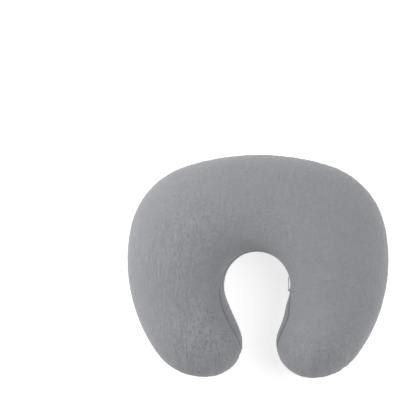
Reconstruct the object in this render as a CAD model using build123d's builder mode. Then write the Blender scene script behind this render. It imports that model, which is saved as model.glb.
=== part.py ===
from build123d import *
import os
from math import acos, atan2, cos, degrees, hypot, radians, sin, sqrt

# A C-shaped nursing pillow with a removable zipped cover, lying flat on its back panel.
# Frame: the origin is at the bottom centre of the pillow, +X to the right arm, +Y to the arch,
# +Z up through the thickness. The hollow opens towards -Y. All sizes are in millimetres.
#
# Every layer is the same plump C at its own depth below the cover's outer face.

# ---- driving dimensions: the pillow ------------------------------------------------------------
THICKNESS = 164.0           # back panel to front panel
EDGE_R = 66.0               # roundness of the edges, front and back
TOP_Y = 223.0               # farthest point of the arch
SHOULDER_CENTRE = (96.5, 45.0)
SHOULDER_R = 163.0
FLANK_R = 320.0             # outer side of each arm
LOBE_CENTRE = (110.0, -111.0)
LOBE_R = 112.0              # outer side of each rounded end
TIP_R = 68.5                # inner side of each rounded end
TIP_TURN = -100.0           # direction, from both centres, in which the lobe arc meets the tip arc
HOLLOW_Y = -40.0            # centre of the round part of the hollow
HOLLOW_R = 69.0

# ---- driving dimensions: the sewn layers, as depths below the cover's outer face ------------------
COVER_THICK = 0.8           # crinkled double-gauze muslin
SEAM_THREAD_DEPTH = 1.2
CARE_LABEL_DEPTH = 1.8
CASE_LABEL_DEPTH = 2.5
CASE_DEPTH = 3.0            # the inner pillow's ticking case
CASE_THICK = 0.5
FILL_DEPTH = 4.1
PANEL_GAP = 0.2             # between the edges of two panels that a seam joins
AIR = 0.1                   # between neighbouring pieces that only touch
THREAD = 0.5                # sewing thread

# ---- driving dimensions: the gusset that lines the hollow ----------------------------------------
GUSSET_HALF = 17.0          # half its height around the arch
LENS_HALF = 42.0            # half its height where it is widest, on the arms
LENS_Y = -90.0              # where it is widest
LENS_TIP_Y = -172.0         # where it runs out to a point, on the lobes
LENS_BLEND_R = 60.0
GUSSET_REACH = 110.0        # sideways reach of the cut, past the inner walls
GUSSET_DEEP_Y = 45.0        # reach of the cut behind the arch's inner wall

# ---- driving dimensions: the zip, a 250 mm No. 5 coil chain --------------------------------------
ZIP_HALF_SPAN = 104.0       # degrees to each side of the middle of the arch
TAPE_SPARE = 5.0            # degrees of tape past each end of the chain
TAPE_DEPTH = 0.9            # below the gusset's outer face
TAPE_THICK = 0.6
TAPE_EDGE = 2.2             # from the mid-plane to the tape's inner edge
TAPE_WIDTH = 11.3
TOOTH_PITCH = 2.2
TOOTH_WIDTH = 0.9
TOOTH_OVERLAP = 0.9         # how far each tooth reaches past the mid-plane
COIL_THICK = 1.6
COIL_SPINE = (2.4, 3.2)     # from the mid-plane to the two sides of a coil's spine
SLOT_HALF = 5.0             # half the opening between the gusset's halves
TOPSTITCH_OFFSET = 8.0      # from the mid-plane to the stitching that holds a tape
STOP_LENGTH = 2.4
STOP_HEIGHT = 2.6           # of each top stop, across the zip
STOP_WRAP = 0.7             # how far a stop stands behind its tape
STOP_CORNER_R = 0.4
STOP_GAP = 0.4              # between a stop and the slider at the end of its travel

# ---- driving dimensions: the slider and its pull tab ---------------------------------------------
SLIDER_LENGTH = 12.0
SLIDER_FRONT_HALF = 4.3     # half its width at the end that faces the top stops
SLIDER_REAR_HALF = 4.0
PLATE_THICK = 1.1
BACK_PLATE_THICK = 0.9
SLIDER_CORNER_R = 1.4
SLIDER_EDGE_R = 0.35
SLIDER_CLEARANCE = 0.2      # to the chain and the tapes it runs along
SLIDER_FLANGE = 0.6
POST_HALF = 1.6             # half the width of the wedge that parts the coils
POST_HALF_LENGTH = 1.7
POST_ALONG = -4.0           # the wedge from the slider's middle, along the chain
LUG_HALF = 1.1
LUG_R = 1.9
PIVOT_RISE = 2.2            # pull tab's axis above the slider's face
PIVOT_ALONG = -1.0          # pull tab's axis from the slider's middle, along the chain
BORE_R = 0.85
PIN_R = 0.75
TAB_LENGTH = 26.0
TAB_THICK = 1.2
TAB_TILT = 8.0              # degrees the resting tab leans off the chain, to clear the curved wall
TAB_WINDOW = 4.4            # from the pin to the far side of the tab's window
TAB_WINDOW_HALF = 1.4
TAB_EYE_R = 1.2             # round end of each of the tab's arms
TAB_HALF = 3.0
TAB_WAIST = 0.75            # the waist's width as a share of the full width
TAB_HOLE = (6.0, 2.4)       # slot in the grip
TAB_HOLE_INSET = 5.5        # from the grip's end to the slot's middle

# ---- places that follow from the driving dimensions -----------------------------------------------
MID_Z = THICKNESS / 2
MID_PLANE = Plane.XY.offset(MID_Z)
HOLLOW_CENTRE = (0.0, HOLLOW_Y)


def polar(centre, radius, angle):
    """The point at a distance and a direction, in degrees, from a centre."""
    return (centre[0] + radius * cos(radians(angle)), centre[1] + radius * sin(radians(angle)))


def direction(start, end):
    """The direction from one point to another, in degrees."""
    return degrees(atan2(end[1] - start[1], end[0] - start[0]))


def circles_meet(first, first_r, second, second_r):
    """The left-hand one of the two points where two circles cross."""
    span = hypot(second[0] - first[0], second[1] - first[1])
    along = (span**2 + first_r**2 - second_r**2) / (2 * span)
    across = sqrt(first_r**2 - along**2)
    towards = radians(direction(first, second))
    return (
        first[0] + along * cos(towards) + across * sin(towards),
        first[1] + along * sin(towards) - across * cos(towards),
    )


# The arch's arc has its centre on the middle line, runs through TOP_Y and touches the shoulders.
rise = TOP_Y - SHOULDER_CENTRE[1]
ARCH_R = (SHOULDER_CENTRE[0] ** 2 + rise**2 - SHOULDER_R**2) / (2 * (rise - SHOULDER_R))
ARCH_CENTRE = (0.0, TOP_Y - ARCH_R)
# The flank's arc touches the shoulder's and the lobe's arcs from outside both.
FLANK_CENTRE = circles_meet(SHOULDER_CENTRE, FLANK_R - SHOULDER_R, LOBE_CENTRE, FLANK_R - LOBE_R)
TIP_CENTRE = polar(LOBE_CENTRE, LOBE_R - TIP_R, TIP_TURN)
# The straight wall leaves the hollow's circle on one side and joins the tip's on the other.
tip_distance = hypot(TIP_CENTRE[0], TIP_CENTRE[1] - HOLLOW_Y)
WALL_TURN = direction(HOLLOW_CENTRE, TIP_CENTRE) + degrees(acos((HOLLOW_R + TIP_R) / tip_distance))

# Directions in which each arc hands over to the next, round the right half from the arch.
SHOULDER_START = direction(ARCH_CENTRE, SHOULDER_CENTRE)
FLANK_START = direction(FLANK_CENTRE, SHOULDER_CENTRE)
LOBE_START = direction(FLANK_CENTRE, LOBE_CENTRE)
TIP_END = WALL_TURN - 180.0

# Angles round the hollow's axis, counted from +X. The chain is closed at the right-hand end.
DEGREES_PER_MM = degrees(1 / HOLLOW_R)
ZIP_START = 90.0 - ZIP_HALF_SPAN
ZIP_END = 90.0 + ZIP_HALF_SPAN
SLIDER_ANGLE = ZIP_START + (STOP_LENGTH + STOP_GAP + SLIDER_LENGTH / 2) * DEGREES_PER_MM
COIL_START = SLIDER_ANGLE
COIL_END = ZIP_END - (STOP_LENGTH + STOP_GAP) * DEGREES_PER_MM
SLIDER_TRAVEL = COIL_END - SLIDER_LENGTH / 2 * DEGREES_PER_MM - SLIDER_ANGLE
TAPE_R = HOLLOW_R + TAPE_DEPTH
COIL_R = TAPE_R - AIR - COIL_THICK


# ---- shapes that several pieces share ---------------------------------------------------------------
def outline(inset):
    """The closed C in plan, pulled in by inset: tangent arcs and two straight inner walls."""
    with BuildSketch() as sketch:
        with BuildLine():
            CenterArc(ARCH_CENTRE, ARCH_R - inset, SHOULDER_START, 90 - SHOULDER_START)
            CenterArc(SHOULDER_CENTRE, SHOULDER_R - inset, FLANK_START, SHOULDER_START - FLANK_START)
            CenterArc(FLANK_CENTRE, FLANK_R - inset, LOBE_START, FLANK_START - LOBE_START)
            CenterArc(LOBE_CENTRE, LOBE_R - inset, TIP_TURN, LOBE_START - TIP_TURN)
            CenterArc(TIP_CENTRE, TIP_R - inset, TIP_END, TIP_TURN - TIP_END)
            Line(
                polar(TIP_CENTRE, TIP_R - inset, TIP_END),
                polar(HOLLOW_CENTRE, HOLLOW_R + inset, WALL_TURN),
            )
            CenterArc(HOLLOW_CENTRE, HOLLOW_R + inset, WALL_TURN, 90 - WALL_TURN)
            mirror(about=Plane.YZ)
        make_face()
    return sketch.sketch


def plump_body(inset):
    """The whole rounded C at a depth of inset below the cover's outer face."""
    with BuildPart() as body:
        with BuildSketch(Plane.XY.offset(inset)):
            add(outline(inset))
        extrude(amount=THICKNESS - 2 * inset)
        fillet(body.faces().filter_by(Axis.Z).edges(), radius=EDGE_R - inset)
    return body.part


def skin(depth, thick):
    """A closed layer of even thickness, starting at a depth below the cover's outer face."""
    with BuildPart() as layer:
        add(plump_body(depth))
        add(plump_body(depth + thick), mode=Mode.SUBTRACT)
    return layer.part


def gusset_prism(grow):
    """The gusset's side view, grown by grow, carried across the hollow and both inner walls.

    It is a band of even height round the arch that swells to a pointed lens along each arm.
    """
    lens_half_length = LENS_Y - LENS_TIP_Y
    lens_r = (lens_half_length**2 + LENS_HALF**2) / (2 * LENS_HALF)
    drop = lens_r - LENS_HALF
    side_view = Plane(origin=(-GUSSET_REACH, 0, MID_Z), x_dir=(0, 1, 0), z_dir=(1, 0, 0))
    with BuildPart() as prism:
        with BuildSketch(side_view) as profile:
            with Locations((LENS_Y, -drop)):
                Circle(lens_r)
            with Locations((LENS_Y, drop)):
                Circle(lens_r, mode=Mode.INTERSECT)
            with Locations(((LENS_Y + GUSSET_DEEP_Y) / 2, 0)):
                Rectangle(GUSSET_DEEP_Y - LENS_Y, 2 * GUSSET_HALF)
            shoulders = profile.vertices().sort_by(Axis.X)[1:3]
            fillet(shoulders, radius=LENS_BLEND_R)
            if grow != 0:
                offset(amount=grow)
        extrude(amount=2 * GUSSET_REACH)
    return prism.part


def ring_sector(inner_r, outer_r, start, end):
    """Draws, in the open sketch, a curved bar about the hollow's axis between two angles."""
    with BuildLine() as edge:
        inner = CenterArc(HOLLOW_CENTRE, inner_r, start, end - start)
        outer = CenterArc(HOLLOW_CENTRE, outer_r, start, end - start)
        Line(inner @ 0, outer @ 0)
        Line(inner @ 1, outer @ 1)
    make_face(edge.edges())


def facing_plane(angle, radius):
    """A plane square to the zip: x runs along the chain, y up, and the normal leaves the hollow."""
    outward = (cos(radians(angle)), sin(radians(angle)), 0)
    along = (-sin(radians(angle)), cos(radians(angle)), 0)
    x, y = polar(HOLLOW_CENTRE, radius, angle)
    return Plane(origin=(x, y, MID_Z), x_dir=along, z_dir=outward)


os.makedirs("parts", exist_ok=True)
cover_skin = skin(0.0, COVER_THICK)
case_skin = skin(CASE_DEPTH, CASE_THICK)
seam_thread_skin = skin(SEAM_THREAD_DEPTH, THREAD)
gusset_shape = gusset_prism(0.0)
gusset_hole = gusset_prism(PANEL_GAP)

# ---- the cover's two muslin panels, which meet round the outer side at mid height -----------------
with BuildPart() as cover_front_panel:
    add(cover_skin)
    split(bisect_by=MID_PLANE.offset(PANEL_GAP / 2), keep=Keep.TOP)
    add(gusset_hole, mode=Mode.SUBTRACT)
cover_front_panel.part.label = "cover_front_panel"
export_step(cover_front_panel.part, "parts/cover_front_panel.step")

with BuildPart() as cover_back_panel:
    mirror(cover_front_panel.part, about=MID_PLANE)
cover_back_panel.part.label = "cover_back_panel"
export_step(cover_back_panel.part, "parts/cover_back_panel.step")

# ---- the gusset's two halves, with the zip's opening between them ----------------------------------
with BuildPart() as inner_gusset_upper:
    add(cover_skin)
    add(gusset_shape, mode=Mode.INTERSECT)
    split(bisect_by=MID_PLANE.offset(PANEL_GAP / 2), keep=Keep.TOP)
    with BuildSketch(MID_PLANE):
        slot_spare = STOP_GAP * DEGREES_PER_MM
        ring_sector(COIL_R, TAPE_R, ZIP_START - slot_spare, ZIP_END + slot_spare)
    extrude(amount=SLOT_HALF, mode=Mode.SUBTRACT)
inner_gusset_upper.part.label = "inner_gusset_upper"
export_step(inner_gusset_upper.part, "parts/inner_gusset_upper.step")

with BuildPart() as inner_gusset_lower:
    mirror(inner_gusset_upper.part, about=MID_PLANE)
inner_gusset_lower.part.label = "inner_gusset_lower"
export_step(inner_gusset_lower.part, "parts/inner_gusset_lower.step")

# ---- the threads inside the cover's seams -----------------------------------------------------------
with BuildPart() as outer_seam_thread:
    with BuildSketch(MID_PLANE.offset(-THREAD / 2)):
        add(outline(SEAM_THREAD_DEPTH))
        add(outline(SEAM_THREAD_DEPTH + THREAD), mode=Mode.SUBTRACT)
    extrude(amount=THREAD)
    add(gusset_hole, mode=Mode.SUBTRACT)
outer_seam_thread.part.label = "outer_seam_thread"
export_step(outer_seam_thread.part, "parts/outer_seam_thread.step")

with BuildPart() as gusset_seam_thread_upper:
    add(seam_thread_skin)
    add(gusset_prism(THREAD / 2), mode=Mode.INTERSECT)
    add(gusset_prism(-THREAD / 2), mode=Mode.SUBTRACT)
    split(bisect_by=MID_PLANE.offset(2 * THREAD), keep=Keep.TOP)
gusset_seam_thread_upper.part.label = "gusset_seam_thread_upper"
export_step(gusset_seam_thread_upper.part, "parts/gusset_seam_thread_upper.step")

with BuildPart() as gusset_seam_thread_lower:
    mirror(gusset_seam_thread_upper.part, about=MID_PLANE)
gusset_seam_thread_lower.part.label = "gusset_seam_thread_lower"
export_step(gusset_seam_thread_lower.part, "parts/gusset_seam_thread_lower.step")

# ---- the zip's tapes, coils and stops ----------------------------------------------------------------
with BuildPart() as zip_tape_upper:
    with BuildSketch(MID_PLANE.offset(TAPE_EDGE)):
        ring_sector(TAPE_R, TAPE_R + TAPE_THICK, ZIP_START - TAPE_SPARE, ZIP_END + TAPE_SPARE)
    extrude(amount=TAPE_WIDTH)
zip_tape_upper.part.label = "zip_tape_upper"
export_step(zip_tape_upper.part, "parts/zip_tape_upper.step")

with BuildPart() as zip_tape_lower:
    mirror(zip_tape_upper.part, about=MID_PLANE)
zip_tape_lower.part.label = "zip_tape_lower"
export_step(zip_tape_lower.part, "parts/zip_tape_lower.step")


def coil_row(first_tooth):
    """One row of the chain, above the mid-plane: a spine with teeth that reach past the middle."""
    pitch = TOOTH_PITCH * DEGREES_PER_MM
    width = TOOTH_WIDTH * DEGREES_PER_MM
    count = int((COIL_END - width - first_tooth) / pitch) + 1
    with BuildPart() as row:
        with BuildSketch(MID_PLANE.offset(COIL_SPINE[0])):
            ring_sector(COIL_R, COIL_R + COIL_THICK, COIL_START, COIL_END)
        extrude(amount=COIL_SPINE[1] - COIL_SPINE[0])
        with BuildSketch(MID_PLANE.offset(-TOOTH_OVERLAP)):
            for number in range(count):
                start = first_tooth + number * pitch
                ring_sector(COIL_R, COIL_R + COIL_THICK, start, start + width)
        extrude(amount=COIL_SPINE[0] + TOOTH_OVERLAP)
    return row.part


FIRST_TOOTH = COIL_START + 0.4 * DEGREES_PER_MM
lower_row = coil_row(FIRST_TOOTH + TOOTH_PITCH / 2 * DEGREES_PER_MM)
with BuildPart() as zip_coil_upper:
    add(coil_row(FIRST_TOOTH))
zip_coil_upper.part.label = "zip_coil_upper"
export_step(zip_coil_upper.part, "parts/zip_coil_upper.step")

with BuildPart() as zip_coil_lower:
    mirror(lower_row, about=MID_PLANE)
zip_coil_lower.part.label = "zip_coil_lower"
export_step(zip_coil_lower.part, "parts/zip_coil_lower.step")

# The stops clip round the tapes: a block on the face, less the slit that the tape lies in.
STOP_FRONT_R = COIL_R + AIR
STOP_BACK_R = TAPE_R + TAPE_THICK + STOP_WRAP
STOP_HALF_TURN = STOP_LENGTH / 2 * DEGREES_PER_MM


def tape_slit(middle):
    """Draws the slit for a tape in a stop, in the open sketch, well past both of its ends."""
    ring_sector(TAPE_R - AIR, TAPE_R + TAPE_THICK + AIR, middle - STOP_LENGTH, middle + STOP_LENGTH)


with BuildPart() as zip_top_stops:
    # A clip folded over each tape's edge, next to the slider's resting place.
    stop_angle = ZIP_START + STOP_HALF_TURN
    with BuildSketch(facing_plane(stop_angle, STOP_FRONT_R)):
        with Locations((0, (TAPE_EDGE + STOP_HEIGHT) / 2 + AIR)):
            RectangleRounded(STOP_LENGTH, STOP_HEIGHT, STOP_CORNER_R)
    extrude(amount=STOP_BACK_R - STOP_FRONT_R)
    with BuildSketch(MID_PLANE.offset(TAPE_EDGE - AIR)):
        tape_slit(stop_angle)
    extrude(amount=TAPE_WIDTH, mode=Mode.SUBTRACT)
    mirror(about=MID_PLANE)
zip_top_stops.part.label = "zip_top_stops"
export_step(zip_top_stops.part, "parts/zip_top_stops.step")

with BuildPart() as zip_bottom_stop:
    # One wide clip that holds both tapes together at the far end of the chain.
    stop_angle = ZIP_END - STOP_HALF_TURN
    with BuildSketch(facing_plane(stop_angle, STOP_FRONT_R)):
        RectangleRounded(STOP_LENGTH, 2 * COIL_SPINE[1], STOP_CORNER_R)
    extrude(amount=STOP_BACK_R - STOP_FRONT_R)
    with BuildSketch(MID_PLANE.offset(TAPE_EDGE - AIR)):
        tape_slit(stop_angle)
    extrude(amount=TAPE_WIDTH, mode=Mode.SUBTRACT)
    with BuildSketch(MID_PLANE.offset(AIR - TAPE_EDGE)):
        tape_slit(stop_angle)
    extrude(amount=-TAPE_WIDTH, mode=Mode.SUBTRACT)
zip_bottom_stop.part.label = "zip_bottom_stop"
export_step(zip_bottom_stop.part, "parts/zip_bottom_stop.step")

# ---- the stitching beside the zip's opening, which lies on the gusset's face -------------------------
with BuildPart() as zip_topstitch_upper:
    with BuildSketch(MID_PLANE.offset(TOPSTITCH_OFFSET)):
        stitch_r = HOLLOW_R - THREAD - AIR
        stitch_spare = TAPE_SPARE / 2
        ring_sector(stitch_r, stitch_r + THREAD, ZIP_START - stitch_spare, ZIP_END + stitch_spare)
    extrude(amount=THREAD)
zip_topstitch_upper.part.label = "zip_topstitch_upper"
export_step(zip_topstitch_upper.part, "parts/zip_topstitch_upper.step")

with BuildPart() as zip_topstitch_lower:
    mirror(zip_topstitch_upper.part, about=MID_PLANE)
zip_topstitch_lower.part.label = "zip_topstitch_lower"
export_step(zip_topstitch_lower.part, "parts/zip_topstitch_lower.step")

# ---- the slider: two plates joined by a wedge, side flanges and a lug for the pull tab -----------
# Radii from the hollow's axis, measured at the slider's middle. The plates are flat, so they stand
# off the curved chain by its bow over half the slider's length, and a little more.
bow = HOLLOW_R - sqrt(HOLLOW_R**2 - (SLIDER_LENGTH / 2) ** 2)
FACE_BACK_R = COIL_R - bow - SLIDER_CLEARANCE
FACE_R = FACE_BACK_R - PLATE_THICK
FLANGE_END_R = TAPE_R - bow - SLIDER_CLEARANCE
BACK_PLATE_R = TAPE_R + TAPE_THICK + SLIDER_CLEARANCE / 2
PIVOT_R = FACE_R - PIVOT_RISE


def slider_outline():
    """Draws the slider's plan in the open sketch: wide shoulders in front, narrower at the rear."""
    front, rear = -SLIDER_LENGTH / 2, SLIDER_LENGTH / 2
    with BuildLine() as edge:
        Polyline(
            (front, -SLIDER_FRONT_HALF),
            (rear, -SLIDER_REAR_HALF),
            (rear, SLIDER_REAR_HALF),
            (front, SLIDER_FRONT_HALF),
            close=True,
        )
    make_face(edge.edges())


with BuildPart() as zip_slider_body:
    # Face plate with its side flanges.
    with BuildSketch(facing_plane(SLIDER_ANGLE, FACE_R)) as plate:
        slider_outline()
        fillet(plate.vertices(), radius=SLIDER_CORNER_R)
    extrude(amount=FLANGE_END_R - FACE_R)
    with BuildSketch(facing_plane(SLIDER_ANGLE, FACE_BACK_R)):
        slider_outline()
        offset(amount=-SLIDER_FLANGE)
        Rectangle(2 * SLIDER_LENGTH, 2 * (SLIDER_REAR_HALF - SLIDER_FLANGE))
    extrude(amount=FLANGE_END_R - FACE_BACK_R, mode=Mode.SUBTRACT)
    fillet(zip_slider_body.faces().sort_by(SortBy.AREA)[-1].edges(), radius=SLIDER_EDGE_R)
    # Back plate, under the tapes.
    with BuildSketch(facing_plane(SLIDER_ANGLE, BACK_PLATE_R)) as back_plate:
        slider_outline()
        fillet(back_plate.vertices(), radius=SLIDER_CORNER_R)
    extrude(amount=BACK_PLATE_THICK)
    # Wedge between the plates, ahead of the first tooth.
    with BuildSketch(facing_plane(SLIDER_ANGLE, FACE_BACK_R)):
        with Locations((POST_ALONG, 0)):
            Ellipse(POST_HALF_LENGTH, POST_HALF)
    extrude(amount=BACK_PLATE_R - FACE_BACK_R)
    # Lug that carries the pull tab's pin.
    with BuildSketch(MID_PLANE.offset(-LUG_HALF)):
        pivot = polar(polar(HOLLOW_CENTRE, PIVOT_R, SLIDER_ANGLE), PIVOT_ALONG, SLIDER_ANGLE + 90)
        foot_length = PIVOT_RISE + SLIDER_EDGE_R
        foot = polar(pivot, foot_length / 2, SLIDER_ANGLE)
        with Locations(pivot):
            Circle(LUG_R)
        with Locations(Location(foot + (0,), (0, 0, SLIDER_ANGLE))):
            Rectangle(foot_length, 2 * LUG_R)
        with Locations(pivot):
            Circle(BORE_R, mode=Mode.SUBTRACT)
    extrude(amount=2 * LUG_HALF)
zip_slider_body.part.label = "zip_slider_body"
export_step(zip_slider_body.part, "parts/zip_slider_body.step")

# ---- the pull tab, lying back over the closed chain -------------------------------------------------
along = radians(SLIDER_ANGLE + 90 + TAB_TILT)
tab_middle = Plane(
    origin=pivot + (MID_Z,),
    x_dir=(cos(along), sin(along), 0),
    z_dir=(sin(along), -cos(along), 0),
)
with BuildPart() as zip_pull_tab:
    with BuildSketch(tab_middle.offset(-TAB_THICK / 2)) as blade:
        with BuildLine():
            # Half the tab's edge: square at the eye, waisted, and full again at the grip.
            Polyline((0, 0), (0, TAB_HALF), (TAB_WINDOW, TAB_HALF))
            Spline(
                (TAB_WINDOW, TAB_HALF),
                (TAB_LENGTH / 2, TAB_WAIST * TAB_HALF),
                (TAB_LENGTH - TAB_HALF, TAB_HALF),
                tangents=[(1, 0), (1, 0)],
            )
            RadiusArc((TAB_LENGTH - TAB_HALF, TAB_HALF), (TAB_LENGTH, 0), TAB_HALF)
            Line((TAB_LENGTH, 0), (0, 0))
        make_face()
        mirror(about=Plane.XZ)
        with Locations((TAB_WINDOW / 2, 0)):
            Rectangle(TAB_WINDOW, 2 * TAB_WINDOW_HALF, mode=Mode.SUBTRACT)
        with Locations((TAB_LENGTH - TAB_HOLE_INSET, 0)):
            SlotOverall(*TAB_HOLE, mode=Mode.SUBTRACT)
    extrude(amount=TAB_THICK)
    # Round ends of the two arms, and the pin between them.
    with BuildSketch(MID_PLANE.offset(TAB_WINDOW_HALF)):
        with Locations(pivot):
            Circle(TAB_EYE_R)
    extrude(amount=TAB_HALF - TAB_WINDOW_HALF)
    with BuildSketch(MID_PLANE.offset(-TAB_WINDOW_HALF)):
        with Locations(pivot):
            Circle(TAB_EYE_R)
    extrude(amount=TAB_WINDOW_HALF - TAB_HALF)
    with BuildSketch(MID_PLANE.offset(-TAB_HALF)):
        with Locations(pivot):
            Circle(PIN_R)
    extrude(amount=2 * TAB_HALF)
zip_pull_tab.part.label = "zip_pull_tab"
export_step(zip_pull_tab.part, "parts/zip_pull_tab.step")

# ---- the inner pillow: ticking case, its seam, and the fibre filling ---------------------------------
with BuildPart() as inner_case_front_panel:
    add(case_skin)
    split(bisect_by=MID_PLANE.offset(PANEL_GAP / 2), keep=Keep.TOP)
inner_case_front_panel.part.label = "inner_case_front_panel"
export_step(inner_case_front_panel.part, "parts/inner_case_front_panel.step")

with BuildPart() as inner_case_back_panel:
    mirror(inner_case_front_panel.part, about=MID_PLANE)
inner_case_back_panel.part.label = "inner_case_back_panel"
export_step(inner_case_back_panel.part, "parts/inner_case_back_panel.step")

with BuildPart() as inner_case_seam_thread:
    thread_depth = CASE_DEPTH + CASE_THICK + AIR
    with BuildSketch(MID_PLANE.offset(-THREAD / 2)):
        add(outline(thread_depth))
        add(outline(FILL_DEPTH - AIR), mode=Mode.SUBTRACT)
    extrude(amount=THREAD)
inner_case_seam_thread.part.label = "inner_case_seam_thread"
export_step(inner_case_seam_thread.part, "parts/inner_case_seam_thread.step")

CLOSING_STITCHES = 24
CLOSING_SPAN = 18.0         # degrees of the arch's arc that were left open for filling
CLOSING_STITCH = (6.0, 0.5)
CLOSING_SLANT = 60.0        # degrees from the seam
CLOSING_THICK = 0.35
with BuildPart() as inner_case_closing_stitch:
    # Slanted hand stitches over the case's seam at the middle of the arch.
    closing_r = ARCH_R - CASE_DEPTH + AIR
    for number in range(CLOSING_STITCHES):
        angle = 90 - CLOSING_SPAN / 2 + (number + 0.5) * CLOSING_SPAN / CLOSING_STITCHES
        x, y = polar(ARCH_CENTRE, closing_r, angle)
        outward = (cos(radians(angle)), sin(radians(angle)), 0)
        sideways = (-sin(radians(angle)), cos(radians(angle)), 0)
        with BuildSketch(Plane(origin=(x, y, MID_Z), x_dir=sideways, z_dir=outward)):
            SlotOverall(*CLOSING_STITCH, rotation=CLOSING_SLANT)
        extrude(amount=CLOSING_THICK)
inner_case_closing_stitch.part.label = "inner_case_closing_stitch"
export_step(inner_case_closing_stitch.part, "parts/inner_case_closing_stitch.step")

with BuildPart() as fibre_fill:
    add(plump_body(FILL_DEPTH))
fibre_fill.part.label = "fibre_fill"
export_step(fibre_fill.part, "parts/fibre_fill.step")

# ---- blank labels sewn into the flanks' seams ---------------------------------------------------------
LABEL_WIDTH = 30.0
LABEL_HANG = 38.0
LABEL_THICK = 0.3
flank_x = FLANK_CENTRE[0] + FLANK_R
label_air = skin(CARE_LABEL_DEPTH + LABEL_THICK, LABEL_THICK)
with BuildPart() as cover_care_label:
    # A ribbon folded double, hanging inside the cover below the left flank's seam.
    add(skin(CARE_LABEL_DEPTH, 3 * LABEL_THICK))
    with BuildSketch(MID_PLANE.offset(-LABEL_HANG)):
        with Locations((-flank_x, 0)):
            Rectangle(flank_x, LABEL_WIDTH)
    extrude(amount=LABEL_HANG, mode=Mode.INTERSECT)
    fold = cover_care_label.faces().sort_by(Axis.Z)[0]
    add(split(label_air, bisect_by=Plane.XY.offset(fold.center().Z + LABEL_THICK), mode=Mode.PRIVATE),
        mode=Mode.SUBTRACT)
cover_care_label.part.label = "cover_care_label"
export_step(cover_care_label.part, "parts/cover_care_label.step")

with BuildPart() as inner_case_label:
    # A single tape on the outside of the case, below the right flank's seam.
    add(skin(CASE_LABEL_DEPTH, LABEL_THICK))
    with BuildSketch(MID_PLANE.offset(-LABEL_HANG)):
        with Locations((flank_x, 0)):
            Rectangle(flank_x, LABEL_WIDTH)
    extrude(amount=LABEL_HANG, mode=Mode.INTERSECT)
inner_case_label.part.label = "inner_case_label"
export_step(inner_case_label.part, "parts/inner_case_label.step")
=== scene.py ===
from math import acos, atan2, cos, degrees, hypot, pi, radians, sin, sqrt

import bpy
import numpy as np
from mathutils import Matrix, Vector


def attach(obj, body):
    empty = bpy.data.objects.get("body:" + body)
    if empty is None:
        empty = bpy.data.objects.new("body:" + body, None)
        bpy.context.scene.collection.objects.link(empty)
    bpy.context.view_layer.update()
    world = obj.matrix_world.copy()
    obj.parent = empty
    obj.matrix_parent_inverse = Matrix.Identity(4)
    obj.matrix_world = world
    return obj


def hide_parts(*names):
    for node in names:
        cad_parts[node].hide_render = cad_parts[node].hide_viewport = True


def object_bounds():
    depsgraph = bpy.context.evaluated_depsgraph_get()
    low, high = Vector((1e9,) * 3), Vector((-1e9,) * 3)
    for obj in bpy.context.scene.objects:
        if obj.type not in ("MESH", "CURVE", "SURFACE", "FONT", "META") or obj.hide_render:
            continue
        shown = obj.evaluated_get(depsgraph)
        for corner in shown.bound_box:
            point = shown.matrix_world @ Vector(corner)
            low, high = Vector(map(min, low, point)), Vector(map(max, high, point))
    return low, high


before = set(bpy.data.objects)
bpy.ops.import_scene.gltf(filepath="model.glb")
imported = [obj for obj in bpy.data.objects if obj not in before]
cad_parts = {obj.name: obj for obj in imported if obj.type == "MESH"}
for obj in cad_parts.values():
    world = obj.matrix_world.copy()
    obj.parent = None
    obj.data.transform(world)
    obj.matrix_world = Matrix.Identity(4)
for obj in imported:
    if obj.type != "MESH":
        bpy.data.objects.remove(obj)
CAD_LOW, CAD_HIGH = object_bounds()

# A C-shaped nursing pillow in crinkled muslin. The soft pieces are inflated from the same plan as
# the CAD bodies, moved slightly by a cloth simulation, and split into sewn panels with real relief.
# Every length is in metres; MM turns millimetres into metres.
MM = 0.001

# ---- plan of the pillow, the same driving dimensions as the frame's ----
TOP_Y = CAD_HIGH.y
MID_Z = (CAD_LOW.z + CAD_HIGH.z) / 2
HALF_HEIGHT = (CAD_HIGH.z - CAD_LOW.z) / 2
SHOULDER_CENTRE = (96.5 * MM, 45 * MM)
SHOULDER_R = 163 * MM
FLANK_R = 320 * MM
LOBE_CENTRE = (110 * MM, -111 * MM)
LOBE_R = 112 * MM
TIP_R = 68.5 * MM
TIP_TURN = -100.0
HOLLOW_CENTRE = (0.0, -40 * MM)
HOLLOW_R = 69 * MM
POLE_TURN = -116.0          # direction of the lobe's far point, seen from the tip arc's centre

# ---- shape of the sewn cover ----
WALL_HALF = 19 * MM         # half height of the upright wall that carries the zip
# Half height of the gusset, against the Y of the inner wall: from its pointed tip on the lobe, over
# its widest place on the arm, to the even band round the hollow.
LENS_TIP_Y = -172 * MM
GUSSET_YS = (LENS_TIP_Y, -145 * MM, -100 * MM, -68 * MM, -20 * MM, 10 * MM)
GUSSET_HALVES = (0.0, 21 * MM, 32 * MM, 35 * MM, 21 * MM, 17 * MM)
SLOT_HALF = 5 * MM
FABRIC_THICK = 0.8 * MM
ALLOWANCE = 3 * MM          # fabric turned in at each seam


# ==== small numeric helpers ====
def smoothstep(low, high, value):
    t = np.clip((value - low) / (high - low), 0, 1)
    return t * t * (3 - 2 * t)


def smooth_max(a, b, width):
    """The larger of a and b, rounded over where they cross."""
    mix = np.clip(0.5 + 0.5 * (a - b) / width, 0, 1)
    return b + (a - b) * mix + width * mix * (1 - mix)


def cubic_weights(t):
    """Catmull-Rom weights of the four samples round a point at fraction t."""
    return (
        ((-0.5 * t + 1) * t - 0.5) * t,
        (1.5 * t - 2.5) * t * t + 1,
        ((-1.5 * t + 2) * t + 0.5) * t,
        (0.5 * t - 0.5) * t * t,
    )


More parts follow.
